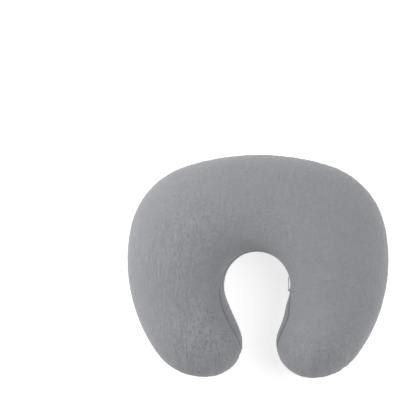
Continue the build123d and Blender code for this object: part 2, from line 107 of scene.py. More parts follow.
def neighbours(start, count, wrap):
    """The four sample numbers round each place, wrapped round or held at the grid's ends."""
    chosen = [start + k - 1 for k in range(4)]
    return [k % count if wrap else np.clip(k, 0, count - 1) for k in chosen]


def sample_grid(grid, i, j, wrap_i=False, wrap_j=False):
    """Smoothly interpolates grid[i, j, ...] at fractional places."""
    i0, j0 = np.floor(i).astype(int), np.floor(j).astype(int)
    rows = neighbours(i0, grid.shape[0], wrap_i)
    columns = neighbours(j0, grid.shape[1], wrap_j)
    total = 0
    for row, weight_i in zip(rows, cubic_weights(i - i0)):
        for column, weight_j in zip(columns, cubic_weights(j - j0)):
            weight, value = weight_i * weight_j, grid[row, column]
            total = total + (weight[..., None] if value.ndim > weight.ndim else weight) * value
    return total


NOISE_SIDE = 256


def noise(x, y, seed):
    """Smooth noise of about -1 to 1 over a plane, with one random value per unit cell."""
    lattice = np.random.default_rng(seed).uniform(-1, 1, (NOISE_SIDE, NOISE_SIDE))
    return sample_grid(lattice, x, y, wrap_i=True, wrap_j=True)


def monotone_curve(x, xs, ys):
    """A smooth curve through points whose xs rise, with no overshoot."""
    xs, ys = np.array(xs, float), np.array(ys, float)
    step, slope = np.diff(xs), np.diff(ys) / np.diff(xs)
    rising = slope[:-1] * slope[1:] > 0
    inner = np.where(rising, 2 * slope[:-1] * slope[1:] / np.where(rising, slope[:-1] + slope[1:], 1), 0)
    tangent = np.concatenate([[slope[0]], inner, [slope[-1]]])
    k = np.clip(np.searchsorted(xs, x) - 1, 0, len(step) - 1)
    t = (x - xs[k]) / step[k]
    start = (1 + 2 * t) * (1 - t) ** 2 * ys[k] + t * (1 - t) ** 2 * step[k] * tangent[k]
    end = t * t * (3 - 2 * t) * ys[k + 1] + t * t * (t - 1) * step[k] * tangent[k + 1]
    return start + end


# ==== the outline in plan ====
def polar(centre, radius, angle):
    return (centre[0] + radius * cos(radians(angle)), centre[1] + radius * sin(radians(angle)))


def direction(start, end):
    return degrees(atan2(end[1] - start[1], end[0] - start[0]))


def flank_centre():
    """Where circles about the shoulder's and the lobe's centres, both touched by the flank, cross."""
    first_r, second_r = FLANK_R - SHOULDER_R, FLANK_R - LOBE_R
    dx, dy = LOBE_CENTRE[0] - SHOULDER_CENTRE[0], LOBE_CENTRE[1] - SHOULDER_CENTRE[1]
    span = hypot(dx, dy)
    along = (span**2 + first_r**2 - second_r**2) / (2 * span)
    across = sqrt(first_r**2 - along**2)
    return (
        SHOULDER_CENTRE[0] + (along * dx + across * dy) / span,
        SHOULDER_CENTRE[1] + (along * dy - across * dx) / span,
    )


rise = TOP_Y - SHOULDER_CENTRE[1]
ARCH_R = (SHOULDER_CENTRE[0] ** 2 + rise**2 - SHOULDER_R**2) / (2 * (rise - SHOULDER_R))
ARCH_CENTRE = (0.0, TOP_Y - ARCH_R)
FLANK_CENTRE = flank_centre()
TIP_CENTRE = polar(LOBE_CENTRE, LOBE_R - TIP_R, TIP_TURN)
tip_distance = hypot(TIP_CENTRE[0], TIP_CENTRE[1] - HOLLOW_CENTRE[1])
WALL_TURN = direction(HOLLOW_CENTRE, TIP_CENTRE) + degrees(acos((HOLLOW_R + TIP_R) / tip_distance))
SHOULDER_START = direction(ARCH_CENTRE, SHOULDER_CENTRE)
FLANK_START = direction(FLANK_CENTRE, SHOULDER_CENTRE)
LOBE_START = direction(FLANK_CENTRE, LOBE_CENTRE)
# Centre, radius, first and last direction, and +1 where the pillow is inside the circle.
ARCS = [
    (ARCH_CENTRE, ARCH_R, 90.0, SHOULDER_START, 1),
    (SHOULDER_CENTRE, SHOULDER_R, SHOULDER_START, FLANK_START, 1),
    (FLANK_CENTRE, FLANK_R, FLANK_START, LOBE_START, 1),
    (LOBE_CENTRE, LOBE_R, LOBE_START, TIP_TURN, 1),
    (TIP_CENTRE, TIP_R, TIP_TURN, WALL_TURN - 180, 1),
    (HOLLOW_CENTRE, HOLLOW_R, WALL_TURN, 90.0, -1),
]
WALL_START = polar(TIP_CENTRE, TIP_R, WALL_TURN - 180)
WALL_END = polar(HOLLOW_CENTRE, HOLLOW_R, WALL_TURN)


OUTLINE_STEP = 0.25 * MM


def half_outline():
    """Closely spaced points from the top of the arch round the right arm to the hollow's top."""
    runs = []
    for centre, radius, first, last, side in ARCS:
        count = int(abs(radians(last - first)) * radius / OUTLINE_STEP)
        turn = np.radians(np.linspace(first, last, count + 1))
        runs.append(np.stack([centre[0] + radius * np.cos(turn), centre[1] + radius * np.sin(turn)], 1))
    points = np.concatenate(runs)
    length = np.concatenate([[0], np.cumsum(np.hypot(*np.diff(points, axis=0).T))])
    keep = np.concatenate([[True], np.diff(length) > 0])
    return points[keep], length[keep]


def plan_depth(x, y):
    """How far inside the outline each plan point is; negative outside."""
    x = np.abs(x)
    best = np.full(np.shape(x), 1e3)
    for centre, radius, first, last, side in ARCS:
        dx, dy = x - centre[0], y - centre[1]
        low, high = min(first, last), max(first, last)
        turn = (np.degrees(np.arctan2(dy, dx)) - low) % 360
        depth = side * (radius - np.hypot(dx, dy))
        inside = turn <= high - low
        best = np.where(inside & (np.abs(depth) < np.abs(best)), depth, best)
    along = np.array(WALL_END) - np.array(WALL_START)
    length = np.hypot(*along)
    along = along / length
    reach = (x - WALL_START[0]) * along[0] + (y - WALL_START[1]) * along[1]
    depth = (x - WALL_START[0]) * along[1] - (y - WALL_START[1]) * along[0]
    beside = (reach >= 0) & (reach <= length)
    return np.where(beside & (np.abs(depth) < np.abs(best)), depth, best)


# ==== how high the stuffed pillow stands over each point of its plan ====
GRID_STEP = 3 * MM
GRID_REACH = (276 * MM, 237 * MM)
LEAST_SHARE = 0.05          # keeps the equation stable where the outline passes close to a grid point
SOLVER_ROUNDS = 600
SMALL_ENERGY = 1e-22
SPREAD_ROUNDS = 6


def inflate():
    """Solves the soap-film equation over the plan: the square root of its result is a stuffed shape."""
    xs, ys = [np.arange(-reach, reach + GRID_STEP / 2, GRID_STEP) for reach in GRID_REACH]
    x, y = np.meshgrid(xs, ys, indexing="ij")
    depth = plan_depth(x, y)
    inside = depth > 0
    padded = np.pad(depth, 1, constant_values=-1)
    diagonal = np.zeros_like(depth)
    shifts = [(0, 1), (2, 1), (1, 0), (1, 2)]
    for a, b in shifts:
        beside = padded[a:a + depth.shape[0], b:b + depth.shape[1]]
        share = np.clip(depth / np.maximum(depth - beside, 1e-9), LEAST_SHARE, 1)
        diagonal += np.where(beside > 0, 1, 1 / share)

    def stiffness(u):
        wide = np.pad(u, 1)
        near = sum(wide[a:a + u.shape[0], b:b + u.shape[1]] for a, b in shifts)
        return np.where(inside, diagonal * u - near, 0)

    u = np.zeros_like(depth)
    residual = np.where(inside, GRID_STEP**2, 0)
    search = residual / np.maximum(diagonal, 1)
    energy = (residual * search).sum()
    for _ in range(SOLVER_ROUNDS):
        pushed = stiffness(search)
        length = energy / (search * pushed).sum()
        u += length * search
        residual = residual - length * pushed
        scaled = residual / np.maximum(diagonal, 1)
        next_energy = (residual * scaled).sum()
        search = scaled + next_energy / energy * search
        energy = next_energy
        if energy < SMALL_ENERGY:
            break
    # u over depth is smooth up to the edge, so it carries the shape there; spread it past the edge.
    ratio = np.where(depth > GRID_STEP / 3, u / np.maximum(depth, 1e-9), 0)
    known = depth > GRID_STEP / 3
    for _ in range(SPREAD_ROUNDS):
        wide, flags = np.pad(ratio * known, 1), np.pad(known.astype(float), 1)
        near = sum(wide[a:a + u.shape[0], b:b + u.shape[1]] for a, b in shifts)
        count = sum(flags[a:a + u.shape[0], b:b + u.shape[1]] for a, b in shifts)
        ratio = np.where(known, ratio, near / np.maximum(count, 1))
        known = known | (count > 0)
    return xs[0], ys[0], u, ratio


FILM_X, FILM_Y, FILM, FILM_RATIO = inflate()
FILM_TOP = FILM.max()
EDGE_BAND = 12 * MM


def swell(x, y):
    """Share of the full height over a plan point: 0 at the outline, 1 at the fullest place."""
    i, j = (x - FILM_X) / GRID_STEP, (y - FILM_Y) / GRID_STEP
    depth = np.maximum(plan_depth(x, y), 0)
    edge = sample_grid(FILM_RATIO, i, j) * depth
    middle = sample_grid(FILM, i, j)
    mix = smoothstep(EDGE_BAND / 2, EDGE_BAND, depth)
    return np.sqrt(np.clip(edge * (1 - mix) + middle * mix, 0, None) / FILM_TOP)


# ==== stations along the C, each with one cross-section ====
OUTLINE, OUTLINE_LENGTH = half_outline()
HALF_LENGTH = OUTLINE_LENGTH[-1]


def outline_at(length):
    return np.stack([np.interp(length, OUTLINE_LENGTH, OUTLINE[:, k]) for k in range(2)], -1)


def nearest_length(point, low=0.0, high=HALF_LENGTH):
    chosen = (OUTLINE_LENGTH >= low) & (OUTLINE_LENGTH <= high)
    gaps = np.hypot(OUTLINE[chosen, 0] - point[0], OUTLINE[chosen, 1] - point[1])
    return OUTLINE_LENGTH[chosen][gaps.argmin()]


POLE = nearest_length(polar(TIP_CENTRE, TIP_R, POLE_TURN))


OUTER_END = 60 * MM         # rays leave the outer side at least this far before the pole
# Each section joins two distances from the pole, one on each side: near the pole these, further on
# the two ends of rays from the hollow's centre in these directions.
NEAR_POLE_INNER = (0, 25 * MM, TIP_R * pi / 2)
NEAR_POLE_OUTER = (0, 27 * MM, 155 * MM)
PAIR_TURNS = (-14, 15, 40, 65)


def outer_partner(inner_length):
    """Where the ray from the hollow's centre through an inner wall point leaves the outer side."""
    inner = outline_at(inner_length)
    turn = direction(HOLLOW_CENTRE, inner)
    turns = np.degrees(np.arctan2(OUTLINE[:, 1] - HOLLOW_CENTRE[1], OUTLINE[:, 0] - HOLLOW_CENTRE[0]))
    outer = OUTLINE_LENGTH < POLE - OUTER_END
    return OUTLINE_LENGTH[outer][np.abs(turns[outer] - turn).argmin()]


def pair_sides():
    """Distances from the pole, along the inner and the outer side, that each section joins."""
    inner, outer = list(NEAR_POLE_INNER), list(NEAR_POLE_OUTER)
    for turn in PAIR_TURNS:
        inner_length = nearest_length(polar(HOLLOW_CENTRE, HOLLOW_R, turn), POLE)
        inner.append(inner_length - POLE)
        outer.append(POLE - outer_partner(inner_length))
    inner.append(HALF_LENGTH - POLE)
    outer.append(POLE)
    return inner, outer


PAIR_INNER, PAIR_OUTER = pair_sides()


def section_ends(station):
    """Plan points of the outer and inner ends of each section.

    A station runs from -1 at the left pole, over the arch at 0, to +1 at the right pole. Its
    distance from a pole is the outer side's length, as a share of the whole.
    """
    outer_from_pole = (1 - np.abs(station)) * POLE
    inner_from_pole = monotone_curve(outer_from_pole, PAIR_OUTER, PAIR_INNER)
    sign = np.where(station < 0, -1.0, 1.0)
    outer = outline_at(POLE - outer_from_pole)
    inner = outline_at(POLE + inner_from_pole)
    outer[..., 0] *= sign
    inner[..., 0] *= sign
    return outer, inner


def seam_height(inner):
    """Height over mid level of the gusset's upper seam, where the inner wall is at these points."""
    y = np.clip(inner[..., 1], GUSSET_YS[0], GUSSET_YS[-1])
    return monotone_curve(y, GUSSET_YS, GUSSET_HALVES)


WALL_FADE = (-105 * MM, -55 * MM)   # over these Y the wall grows to its full height
LOBE_FILL = 0.20            # extra height that the stuffing gives the lobes
LOBE_FADE = (60 * MM, 185 * MM)     # distances below the frame's middle over which it grows
WALL_RISE = (0.55, 1.0)     # shares of a section over which the wall's height grows
DOME_SAMPLES = 220
WALL_SAMPLES = 12


def wall_half(inner):
    """Half height of the upright wall: full round the hollow, fading out along the arms."""
    return WALL_HALF * smoothstep(*WALL_FADE, inner[..., 1])


def sections(station):
    """Closely sampled cross-sections from the outer seam, over the dome, down to mid level inside.

    Returns points with heights over mid level, and each point's distance along its section.
    """
    outer, inner = section_ends(station)
    share = (1 - np.cos(np.linspace(0, pi, DOME_SAMPLES))) / 2
    plan = outer[:, None] + (inner - outer)[:, None] * share[None, :, None]
    raised = swell(plan[..., 0], plan[..., 1])
    raised[:, [0, -1]] = 0
    raised *= 1 + LOBE_FILL * smoothstep(*LOBE_FADE, -plan[..., 1])
    wall = wall_half(inner)[:, None] * smoothstep(*WALL_RISE, share)[None]
    dome = np.concatenate([plan, (wall + (HALF_HEIGHT - wall) * raised)[..., None]], -1)
    drop = np.linspace(1, 0, WALL_SAMPLES + 1)[1:]
    upright = np.empty((len(station), WALL_SAMPLES, 3))
    upright[..., :2] = inner[:, None]
    upright[..., 2] = wall[:, -1:] * drop
    points = np.concatenate([dome, upright], 1)
    steps = np.linalg.norm(np.diff(points, axis=1), axis=-1)
    lengths = np.concatenate([np.zeros((len(station), 1)), np.cumsum(steps, 1)], 1)
    return points, lengths, inner


def resample(values, lengths, wanted):
    """Reads each row of values at the wanted lengths along it."""
    result = np.empty(wanted.shape + values.shape[2:])
    for row in range(len(values)):
        for k in range(values.shape[2]):
            result[row, :, k] = np.interp(wanted[row], lengths[row], values[row, :, k])
    return result


def seam_length(points, lengths, inner):
    """Length along each section at which the gusset's seam crosses it."""
    height = seam_height(inner)
    result = lengths[:, -1].copy()
    for row in range(len(points)):
        top = points[row, :, 2].argmax()
        falling = points[row, top:, 2][::-1]
        if height[row] > 0:
            result[row] = np.interp(height[row], falling, lengths[row, top:][::-1])
    return result


# ==== meshes built from rings of points ====
def signed_volume(mesh):
    mesh.calc_loop_triangles()
    points = np.empty(len(mesh.vertices) * 3)
    mesh.vertices.foreach_get("co", points)
    corners = np.empty(len(mesh.loop_triangles) * 3, int)
    mesh.loop_triangles.foreach_get("vertices", corners)
    a, b, c = points.reshape(-1, 3)[corners.reshape(-1, 3)].transpose(1, 0, 2)
    return np.einsum("ij,ij->i", a, np.cross(b, c)).sum() / 6


def build_mesh(name, points, faces):
    mesh = bpy.data.meshes.new(name)
    mesh.from_pydata(points.tolist(), [], faces)
    if signed_volume(mesh) < 0:
        mesh.flip_normals()
    mesh.polygons.foreach_set("use_smooth", [True] * len(mesh.polygons))
    mesh.update()
    return mesh


def strip_faces(index):
    """Quads between neighbouring rings of point numbers."""
    ahead = np.roll(index, -1, 1)
    return np.stack([index[:-1], index[1:], ahead[1:], ahead[:-1]], -1).reshape(-1, 4)


def pole_points(rings):
    """The rings' points in one list, with the first and the last ring each drawn into one point."""
    body = rings[1:-1].reshape(-1, *rings.shape[2:])
    return np.concatenate([rings[0].mean(0)[None], body, rings[-1].mean(0)[None]])


def tube_mesh(name, rings):
    """A closed skin through rings of points, closed by a pole at each end."""
    points = pole_points(rings)
    around = rings.shape[1]
    index = 1 + np.arange((len(rings) - 2) * around).reshape(-1, around)
    faces = strip_faces(index).tolist()
    last = len(points) - 1
    first_ring, last_ring = index[0].tolist(), index[-1].tolist()
    faces += [(0, a, b) for a, b in zip(first_ring, first_ring[1:] + first_ring[:1])]
    faces += [(last, b, a) for a, b in zip(last_ring, last_ring[1:] + last_ring[:1])]
    return build_mesh(name, points, faces)


CORD_SIDES = 6
CORD_REFERENCE = (0.31, 0.17, 0.94)     # a direction that no thread here runs along


def cord_mesh(name, path, radius):
    """A round thread along a path, drawn to a point a radius beyond each end."""
    path = np.asarray(path)
    along = np.gradient(path, axis=0)
    along /= np.linalg.norm(along, axis=1, keepdims=True)
    side = np.cross(along, CORD_REFERENCE)
    side /= np.linalg.norm(side, axis=1, keepdims=True)
    up = np.cross(side, along)
    turn = np.linspace(0, 2 * pi, CORD_SIDES, endpoint=False)[None, :, None]
    rings = path[:, None] + radius * (side[:, None] * np.cos(turn) + up[:, None] * np.sin(turn))
    first = path[:1, None] - radius * along[:1, None] + 0 * rings[:1]
    last = path[-1:, None] + radius * along[-1:, None] + 0 * rings[:1]
    return tube_mesh(name, np.concatenate([first, rings, last]))


def join_meshes(name, meshes):
    """One mesh of many, for rows of separate stitches."""
    points, faces, offset = [], [], 0
    for mesh in meshes:
        part = np.empty(len(mesh.vertices) * 3)
        mesh.vertices.foreach_get("co", part)
        points.append(part.reshape(-1, 3))
        faces += [[offset + corner for corner in face.vertices] for face in mesh.polygons]
        offset += len(mesh.vertices)
        bpy.data.meshes.remove(mesh)
    return build_mesh(name, np.concatenate(points), faces)


def store(mesh, name, values):
    """Keeps a number or a vector on each point, for the materials to read."""
    vector = values.ndim == 2
    attribute = mesh.attributes.new(name, "FLOAT_VECTOR" if vector else "FLOAT", "POINT")
    attribute.data.foreach_set("vector" if vector else "value", values.astype(np.float32).ravel())


def add_object(name, data):
    thing = bpy.data.objects.new(name, data)
    bpy.context.scene.collection.objects.link(thing)
    return thing


def show(name, mesh, material, stands_for):
    """Adds a soft piece of the pillow in place of its CAD node."""
    piece = add_object(name, mesh)
    mesh.materials.append(material)
    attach(piece, "pillow")
    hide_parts(stands_for)


# ==== a cloth simulation moves the sewn cloth a little ====
SIM_STATIONS = 191
SIM_SEGMENTS = 32           # along one section, from the outer seam to mid level inside
SIM_AROUND = 2 * SIM_SEGMENTS
SIM_FRAMES = 20
SIM_CAP = 6 * MM            # farthest that a point may move
HOLD_OPEN = 0.30            # how firmly the stuffing holds the cloth's place, away from the seams
HOLD_SEAM = 0.45
SMOOTHING = 3               # rounds of evening out the simulated movement
CLOTH_SETTINGS = {
    "quality": 6,
    "mass": 0.25,
    "tension_stiffness": 20,
    "compression_stiffness": 20,
    "shear_stiffness": 8,
    "bending_stiffness": 4,
    "use_pressure": True,
    "uniform_pressure_force": 6,
    "vertex_group_shrink": "seams",
    "shrink_min": 0,
    "shrink_max": 0.02,
    "vertex_group_mass": "hold",
    "pin_stiffness": 1,
}
BOTTOM_PRESS = 1.06         # how strongly the floor flattens the underside
PRESS_SOFTNESS = 4 * MM
SETTLE = 4.5 * MM           # how far the inner sides of both arms lie to the right below the hollow
SETTLE_FADE = (62 * MM, 120 * MM)   # distances below the frame's middle over which the shift grows
SETTLE_INNER = (60 * MM, 190 * MM)  # distances from the middle line over which it fades out


def settled(plan):
    """Plan points with the inner sides of the arms shifted, as the soft arms lie in the photograph."""
    x, y = plan[..., 0], plan[..., 1]
    inside = 1 - smoothstep(*SETTLE_INNER, np.abs(x))
    shifted = plan.copy()
    shifted[..., 0] = x + SETTLE * smoothstep(*SETTLE_FADE, -y) * inside
    return shifted


def lay_down(points, side):
    """Puts heights over mid level into the frame; the underside, side -1, is pressed flat on the floor."""
    placed = settled(points)
    height = points[..., 2]
    if side < 0:
        pressed = -smooth_max(-BOTTOM_PRESS * height, np.full_like(height, -HALF_HEIGHT), PRESS_SOFTNESS)
        height = -np.clip(pressed, 0, HALF_HEIGHT)
    placed[..., 2] = MID_Z + height
    return placed


def even_lengths(start, end, rows):
    """Rows of evenly spaced lengths, from start to end on each section."""
    return start[:, None] + (end - start)[:, None] * np.linspace(0, 1, rows)[None]


def sim_rings():
    points, lengths, inner = sections(np.linspace(-1, 1, SIM_STATIONS))
    base = resample(points, lengths, even_lengths(0 * lengths[:, -1], lengths[:, -1], SIM_SEGMENTS + 1))
    top = lay_down(base, 1)
    bottom = lay_down(base, -1)[:, 1:-1][:, ::-1]
    share = seam_length(points, lengths, inner) / lengths[:, -1].clip(1e-9)
    return np.concatenate([top, bottom], 1), share * SIM_SEGMENTS


def seam_weights(seam_at):
    """1 on the seams that pull tight, fading out two segments from the outer one, one from the inner."""
    column = np.arange(SIM_AROUND)[None]
    from_outer = np.minimum(column, SIM_AROUND - column)
    from_inner = np.abs(from_outer - seam_at[:, None])
    return np.clip(1 - 0.5 * from_outer, 0, 1) + np.clip(1 - from_inner, 0, 1)


def even_out(move):
    """Smooths the movement over neighbouring points, so that no fold is as narrow as one segment."""
    for _ in range(SMOOTHING):
        padded = np.concatenate([move[:1], move, move[-1:]])
        move = (padded[:-2] + 2 * move + padded[2:]) / 4
        move = (np.roll(move, 1, 1) + 2 * move + np.roll(move, -1, 1)) / 4
    return move


def simulate_cloth():
    """Inflates the sewn shape and returns how far each point of its rings moved."""
    rings, seam_at = sim_rings()
    mesh = tube_mesh("cloth_run", rings)
    runner = add_object("cloth_run", mesh)
    weights = pole_points(seam_weights(seam_at)[..., None])[:, 0].clip(0, 1)
    seams = runner.vertex_groups.new(name="seams")
    hold = runner.vertex_groups.new(name="hold")
    for number, weight in enumerate(weights.tolist()):
        seams.add([number], weight, "REPLACE")
        hold.add([number], HOLD_OPEN + (HOLD_SEAM - HOLD_OPEN) * weight, "REPLACE")
    modifier = runner.modifiers.new("cloth", "CLOTH")
    for setting, value in CLOTH_SETTINGS.items():
        setattr(modifier.settings, setting, value)
    modifier.settings.effector_weights.gravity = 0
    modifier.point_cache.frame_start = 1
    modifier.point_cache.frame_end = SIM_FRAMES
    scene = bpy.context.scene
    for number in range(1, SIM_FRAMES + 1):
        scene.frame_set(number)
    evaluated = runner.evaluated_get(bpy.context.evaluated_depsgraph_get())
    after = np.empty(len(mesh.vertices) * 3)
    evaluated.data.vertices.foreach_get("co", after)
    after = after.reshape(-1, 3)
    scene.frame_set(1)
    bpy.data.objects.remove(runner)
    moved = np.empty_like(rings)
    moved[1:-1] = after[1:-1].reshape(-1, SIM_AROUND, 3)
    moved[0] = after[0]
    moved[-1] = after[-1]
    move = moved - rings
    far = np.linalg.norm(move, axis=-1, keepdims=True)
    print("cloth moved", round(far.mean() / MM, 2), "mm on average,", round(far.max() / MM, 2), "at most")
    return even_out(move * np.minimum(1, SIM_CAP / np.maximum(far, 1e-9)))


CLOTH_MOVE = simulate_cloth()


def cloth_move(station, share, side):
    """How far the simulation moved the surface at each station and share of its section."""
    i = (station + 1) / 2 * (SIM_STATIONS - 1)
    j = share * SIM_SEGMENTS
    return sample_grid(CLOTH_MOVE, i, j if side > 0 else SIM_AROUND - j, wrap_j=True)


# ==== the stuffed surface, read at any place ====
ZIP_FREE = (14 * MM, 34 * MM)   # heights over which the cloth leaves the wall that carries the zip

ON_WALL = (0.55, 0.8)       # shares of a section over which the wall begins
POLE_SIZE = 0.1 * MM        # a row smaller than this is a pole, and borrows its neighbours' normal


def stuffed(station, wanted, side, cut):
    """Points of the stuffed surface at lengths along each section, with outward normals.

    Also gives how freely the cloth lies there: 0 on the upright wall that carries the zip, else 1.
    """
    points, lengths, inner = cut
    base = resample(points, lengths, wanted)
    share = wanted / lengths[:, -1:].clip(1e-9)
    on_wall = smoothstep(*ON_WALL, share) * (wall_half(inner) / WALL_HALF)[:, None]
    free = 1 - on_wall * (1 - smoothstep(*ZIP_FREE, base[..., 2]))
    placed = lay_down(base, side)
    placed += cloth_move(station[:, None] + 0 * share, share, side) * free[..., None]
    if side < 0:
        placed[..., 2] = np.maximum(placed[..., 2], 0)
    along, across = np.gradient(placed, axis=0), np.gradient(placed, axis=1)
    normal = np.cross(across, along) * side
    normal /= np.maximum(np.linalg.norm(normal, axis=-1, keepdims=True), 1e-12)
    for end, near in ((0, 2), (-1, -3)):
        if np.ptp(placed[end], axis=0).max() < POLE_SIZE:
            normal[end] = normal[near].mean(0) / np.linalg.norm(normal[near].mean(0))
    return placed, normal, free


def spread_flat(station, wanted, cut):
    """Where each point would lie if its panel were spread flat: weave and crinkles follow this."""
    points, lengths, inner = cut
    outer = points[:, 0, :2]
    across = inner - outer
    across = across / np.maximum(np.linalg.norm(across, axis=-1, keepdims=True), 1e-9)
    middle = DOME_SAMPLES // 2
    from_middle = wanted - lengths[:, middle][:, None]
    return points[:, middle, None, :2] + across[:, None] * from_middle[..., None]


# ==== relief of the cloth: crinkled double gauze, and the pull of the seams ====
RIB_WIDTH = 2.3 * MM
RIB_LENGTH = 13 * MM
CRINKLE = 0.42 * MM
DRIFT = 2.2 * MM            # how far the ribs wander
GROOVE = 1.0 * MM
GUSSET_GROOVE = 2.0 * MM
GROOVE_HALF = 2.0 * MM
DIP = 0.5 * MM
DIP_REACH = 7 * MM
PUCKER = 0.75 * MM
PUCKER_WIDTH = 4.5 * MM
PUCKER_REACH = 10 * MM
PUCKER_LENGTH = 22 * MM
DRIFT_CELL, DRIFT_LENGTH = 16 * MM, 34 * MM
BUBBLE_CELL = (1.1 * RIB_WIDTH, 1.3 * RIB_WIDTH)
BUBBLES = 0.3
RIB_CHANGE, RIB_CHANGE_CELL = 0.3, 60 * MM      # how much, and how often, the ribs' strength varies
CROSS_CHANGE, CROSS_CHANGE_CELL = 0.25, 50 * MM


def patch(a, b, centre, size):
    """A soft-edged oval area, 1 at its centre."""
    return np.exp(-(((a - centre[0]) / size[0]) ** 2) - ((b - centre[1]) / size[1]) ** 2)


# How deep the crinkles are over the pillow: extra strength, centre and size of each area. The ribs
# are deep on both lobes and nearly smooth on the right arm; with the lines that cross them they make
# a small grid on the left lobe.
RIB_BASE, CROSS_BASE = 0.55, 0.34
RIB_AREAS = (
    (0.9, (-100 * MM, -130 * MM), (70 * MM, 90 * MM)),
    (0.5, (-150 * MM, -170 * MM), (60 * MM, 50 * MM)),
    (0.7, (-120 * MM, 90 * MM), (50 * MM, 70 * MM)),
    (0.25, (-170 * MM, -20 * MM), (50 * MM, 80 * MM)),
    (0.9, (120 * MM, -180 * MM), (80 * MM, 50 * MM)),
    (-0.3, (150 * MM, 0), (90 * MM, 120 * MM)),
)
CROSS_AREAS = (
    (0.95, (-100 * MM, -130 * MM), (70 * MM, 70 * MM)),
    (0.4, (0, 80 * MM), (90 * MM, 40 * MM)),
    (0.3, (-110 * MM, 80 * MM), (50 * MM, 60 * MM)),
    (0.3, (120 * MM, -180 * MM), (80 * MM, 50 * MM)),
)


def strength_at(a, b, base, areas):
    return base + sum(extra * patch(a, b, centre, size) for extra, centre, size in areas)


def crinkle(a, b, seed):
    """Height of the crinkle over the smooth surface: long ribs along b, crossed by fainter ones."""
    drift_a = DRIFT * noise(a / DRIFT_CELL, b / DRIFT_LENGTH, seed + 1)
    drift_b = DRIFT * noise(a / DRIFT_LENGTH, b / DRIFT_CELL, seed + 2)
    ribs = noise((a + drift_a) / RIB_WIDTH, b / RIB_LENGTH, seed + 3)
    cross = noise(a / RIB_LENGTH, (b + drift_b) / RIB_WIDTH, seed + 4)
    bubbles = noise((a + drift_a) / BUBBLE_CELL[0], (b + drift_b) / BUBBLE_CELL[1], seed + 5)
    rib_change = RIB_CHANGE * noise(a / RIB_CHANGE_CELL, b / RIB_CHANGE_CELL, seed + 6)
    cross_change = CROSS_CHANGE * noise(a / CROSS_CHANGE_CELL, b / CROSS_CHANGE_CELL, seed + 7)
    ribs = ribs * (strength_at(a, b, RIB_BASE, RIB_AREAS) + rib_change)
    cross = cross * (strength_at(a, b, CROSS_BASE, CROSS_AREAS) + cross_change)
    return CRINKLE * (ribs + cross + BUBBLES * bubbles)


def seam_pull(edge, along, seed, depth=GROOVE):
    """A sewn edge draws the cloth down into a groove, with short puckers running off it."""
    groove = -depth * np.exp(-((edge / GROOVE_HALF) ** 2)) - DIP * np.exp(-edge / DIP_REACH)
    puckers = noise(along / PUCKER_WIDTH, edge / PUCKER_LENGTH, seed) * np.exp(-edge / PUCKER_REACH)
    return groove + PUCKER * puckers * (1 - np.exp(-((edge / GROOVE_HALF) ** 2)))


# ==== sewn panels as closed pieces of cloth ====
def folded_rings(face, normal, thick, hem, chosen):
    """Rings round a sewn panel: its face, its turned-in edges, and its back at the chosen columns."""
    back = (face - normal * thick)[:, chosen]
    far_edge = (face[:, -1] - normal[:, -1] * hem)[:, None]
    near_edge = (face[:, 0] - normal[:, 0] * hem)[:, None]
    return np.concatenate([face, far_edge, back, near_edge], 1)


def folded_values(values, chosen):
    """Values of the face, carried over to the turned-in edges and the back."""
    return np.concatenate([values, values[:, -1:], values[:, chosen], values[:, :1]], 1)


def back_columns(rows, count):
    """Columns of the face that the coarser back repeats, far edge first, clear of the turned-in edges."""
    return np.linspace(2, rows - 3, count).astype(int)[::-1]


def cloth_piece(name, face, normal, thick, hem, back_rows, place, relief):
    """Builds a panel's mesh and keeps its flat place, relief and strength of crinkle for the material, which
    paints shade in the relief's grooves and light where the crinkles are deep.
    """
    chosen = back_columns(face.shape[1], back_rows)
    rings = folded_rings(face, normal, thick, hem, chosen)
    mesh = tube_mesh(name, rings)
    flat = np.concatenate([place, 0 * place[..., :1]], -1)
    a, b = place[..., 0], place[..., 1]
    ribs, cross = strength_at(a, b, RIB_BASE, RIB_AREAS), strength_at(a, b, CROSS_BASE, CROSS_AREAS)
    strengths = np.stack([ribs, cross, 0 * a], -1)
    for attribute, values in (("fabric", flat), ("strengths", strengths)):
        store(mesh, attribute, pole_points(folded_values(values, chosen)))
    store(mesh, "relief", pole_points(folded_values(relief / CRINKLE, chosen)[..., None])[:, 0])
    return mesh


CLOSER = 0.12               # how much closer together stations lie towards the ends, where the C narrows


def stations_between(low, high, count):
    share = np.linspace(-1, 1, count)
    eased = CLOSER * np.sin(share * pi / 2) + (1 - CLOSER) * share
    return (low + high) / 2 + (high - low) / 2 * eased


def lens_tip_station():
    """The station on the right arm at which the gusset runs out to a point."""
    station = np.linspace(0.5, 1, 4000)
    inner = section_ends(station)[1]
    gap = np.abs(inner[:, 1] - LENS_TIP_Y)
    return station[np.where(inner[:, 0] < TIP_CENTRE[0], gap, 1).argmin()]


LENS_TIP = lens_tip_station()
PANEL_STATIONS = 500
PANEL_ROWS = 184
BACK_ROWS = 12
GUSSET_STATIONS = 560
GUSSET_ROWS = 30
WALL_CRINKLE = 0.35         # share of the crinkle left on the wall that carries the zip
FLOOR_GAP = 0.02 * MM
GUSSET_BACK_ROWS = 6
CASE_BACK_ROWS = 20
PANEL_EASE = 25 * MM        # a panel's relief fades out where the panel is shorter than this
GUSSET_EASE = 12 * MM
WALL_RELIEF = 0.05 * MM     # how far the cloth on the wall may sink
SLIT_DEPTH = 2.2 * MM
SLIT_Y = (-172 * MM, -130 * MM)
SLIT_EASE = 8 * MM
SLIT_HALF = 1.8 * MM
RIDGE_HEIGHT = 1.8 * MM
RIDGE_HALF = 2.6 * MM


def slit_share(inner, station):
    """1 where the left arm's seam gapes at the lobe end of the gusset, 0 elsewhere."""
    low, high = SLIT_Y
    opened = smoothstep(low, low + SLIT_EASE, inner[:, 1])
    closed = smoothstep(high - SLIT_EASE, high, inner[:, 1])
    return (opened * (1 - closed) * (station < 0))[:, None]


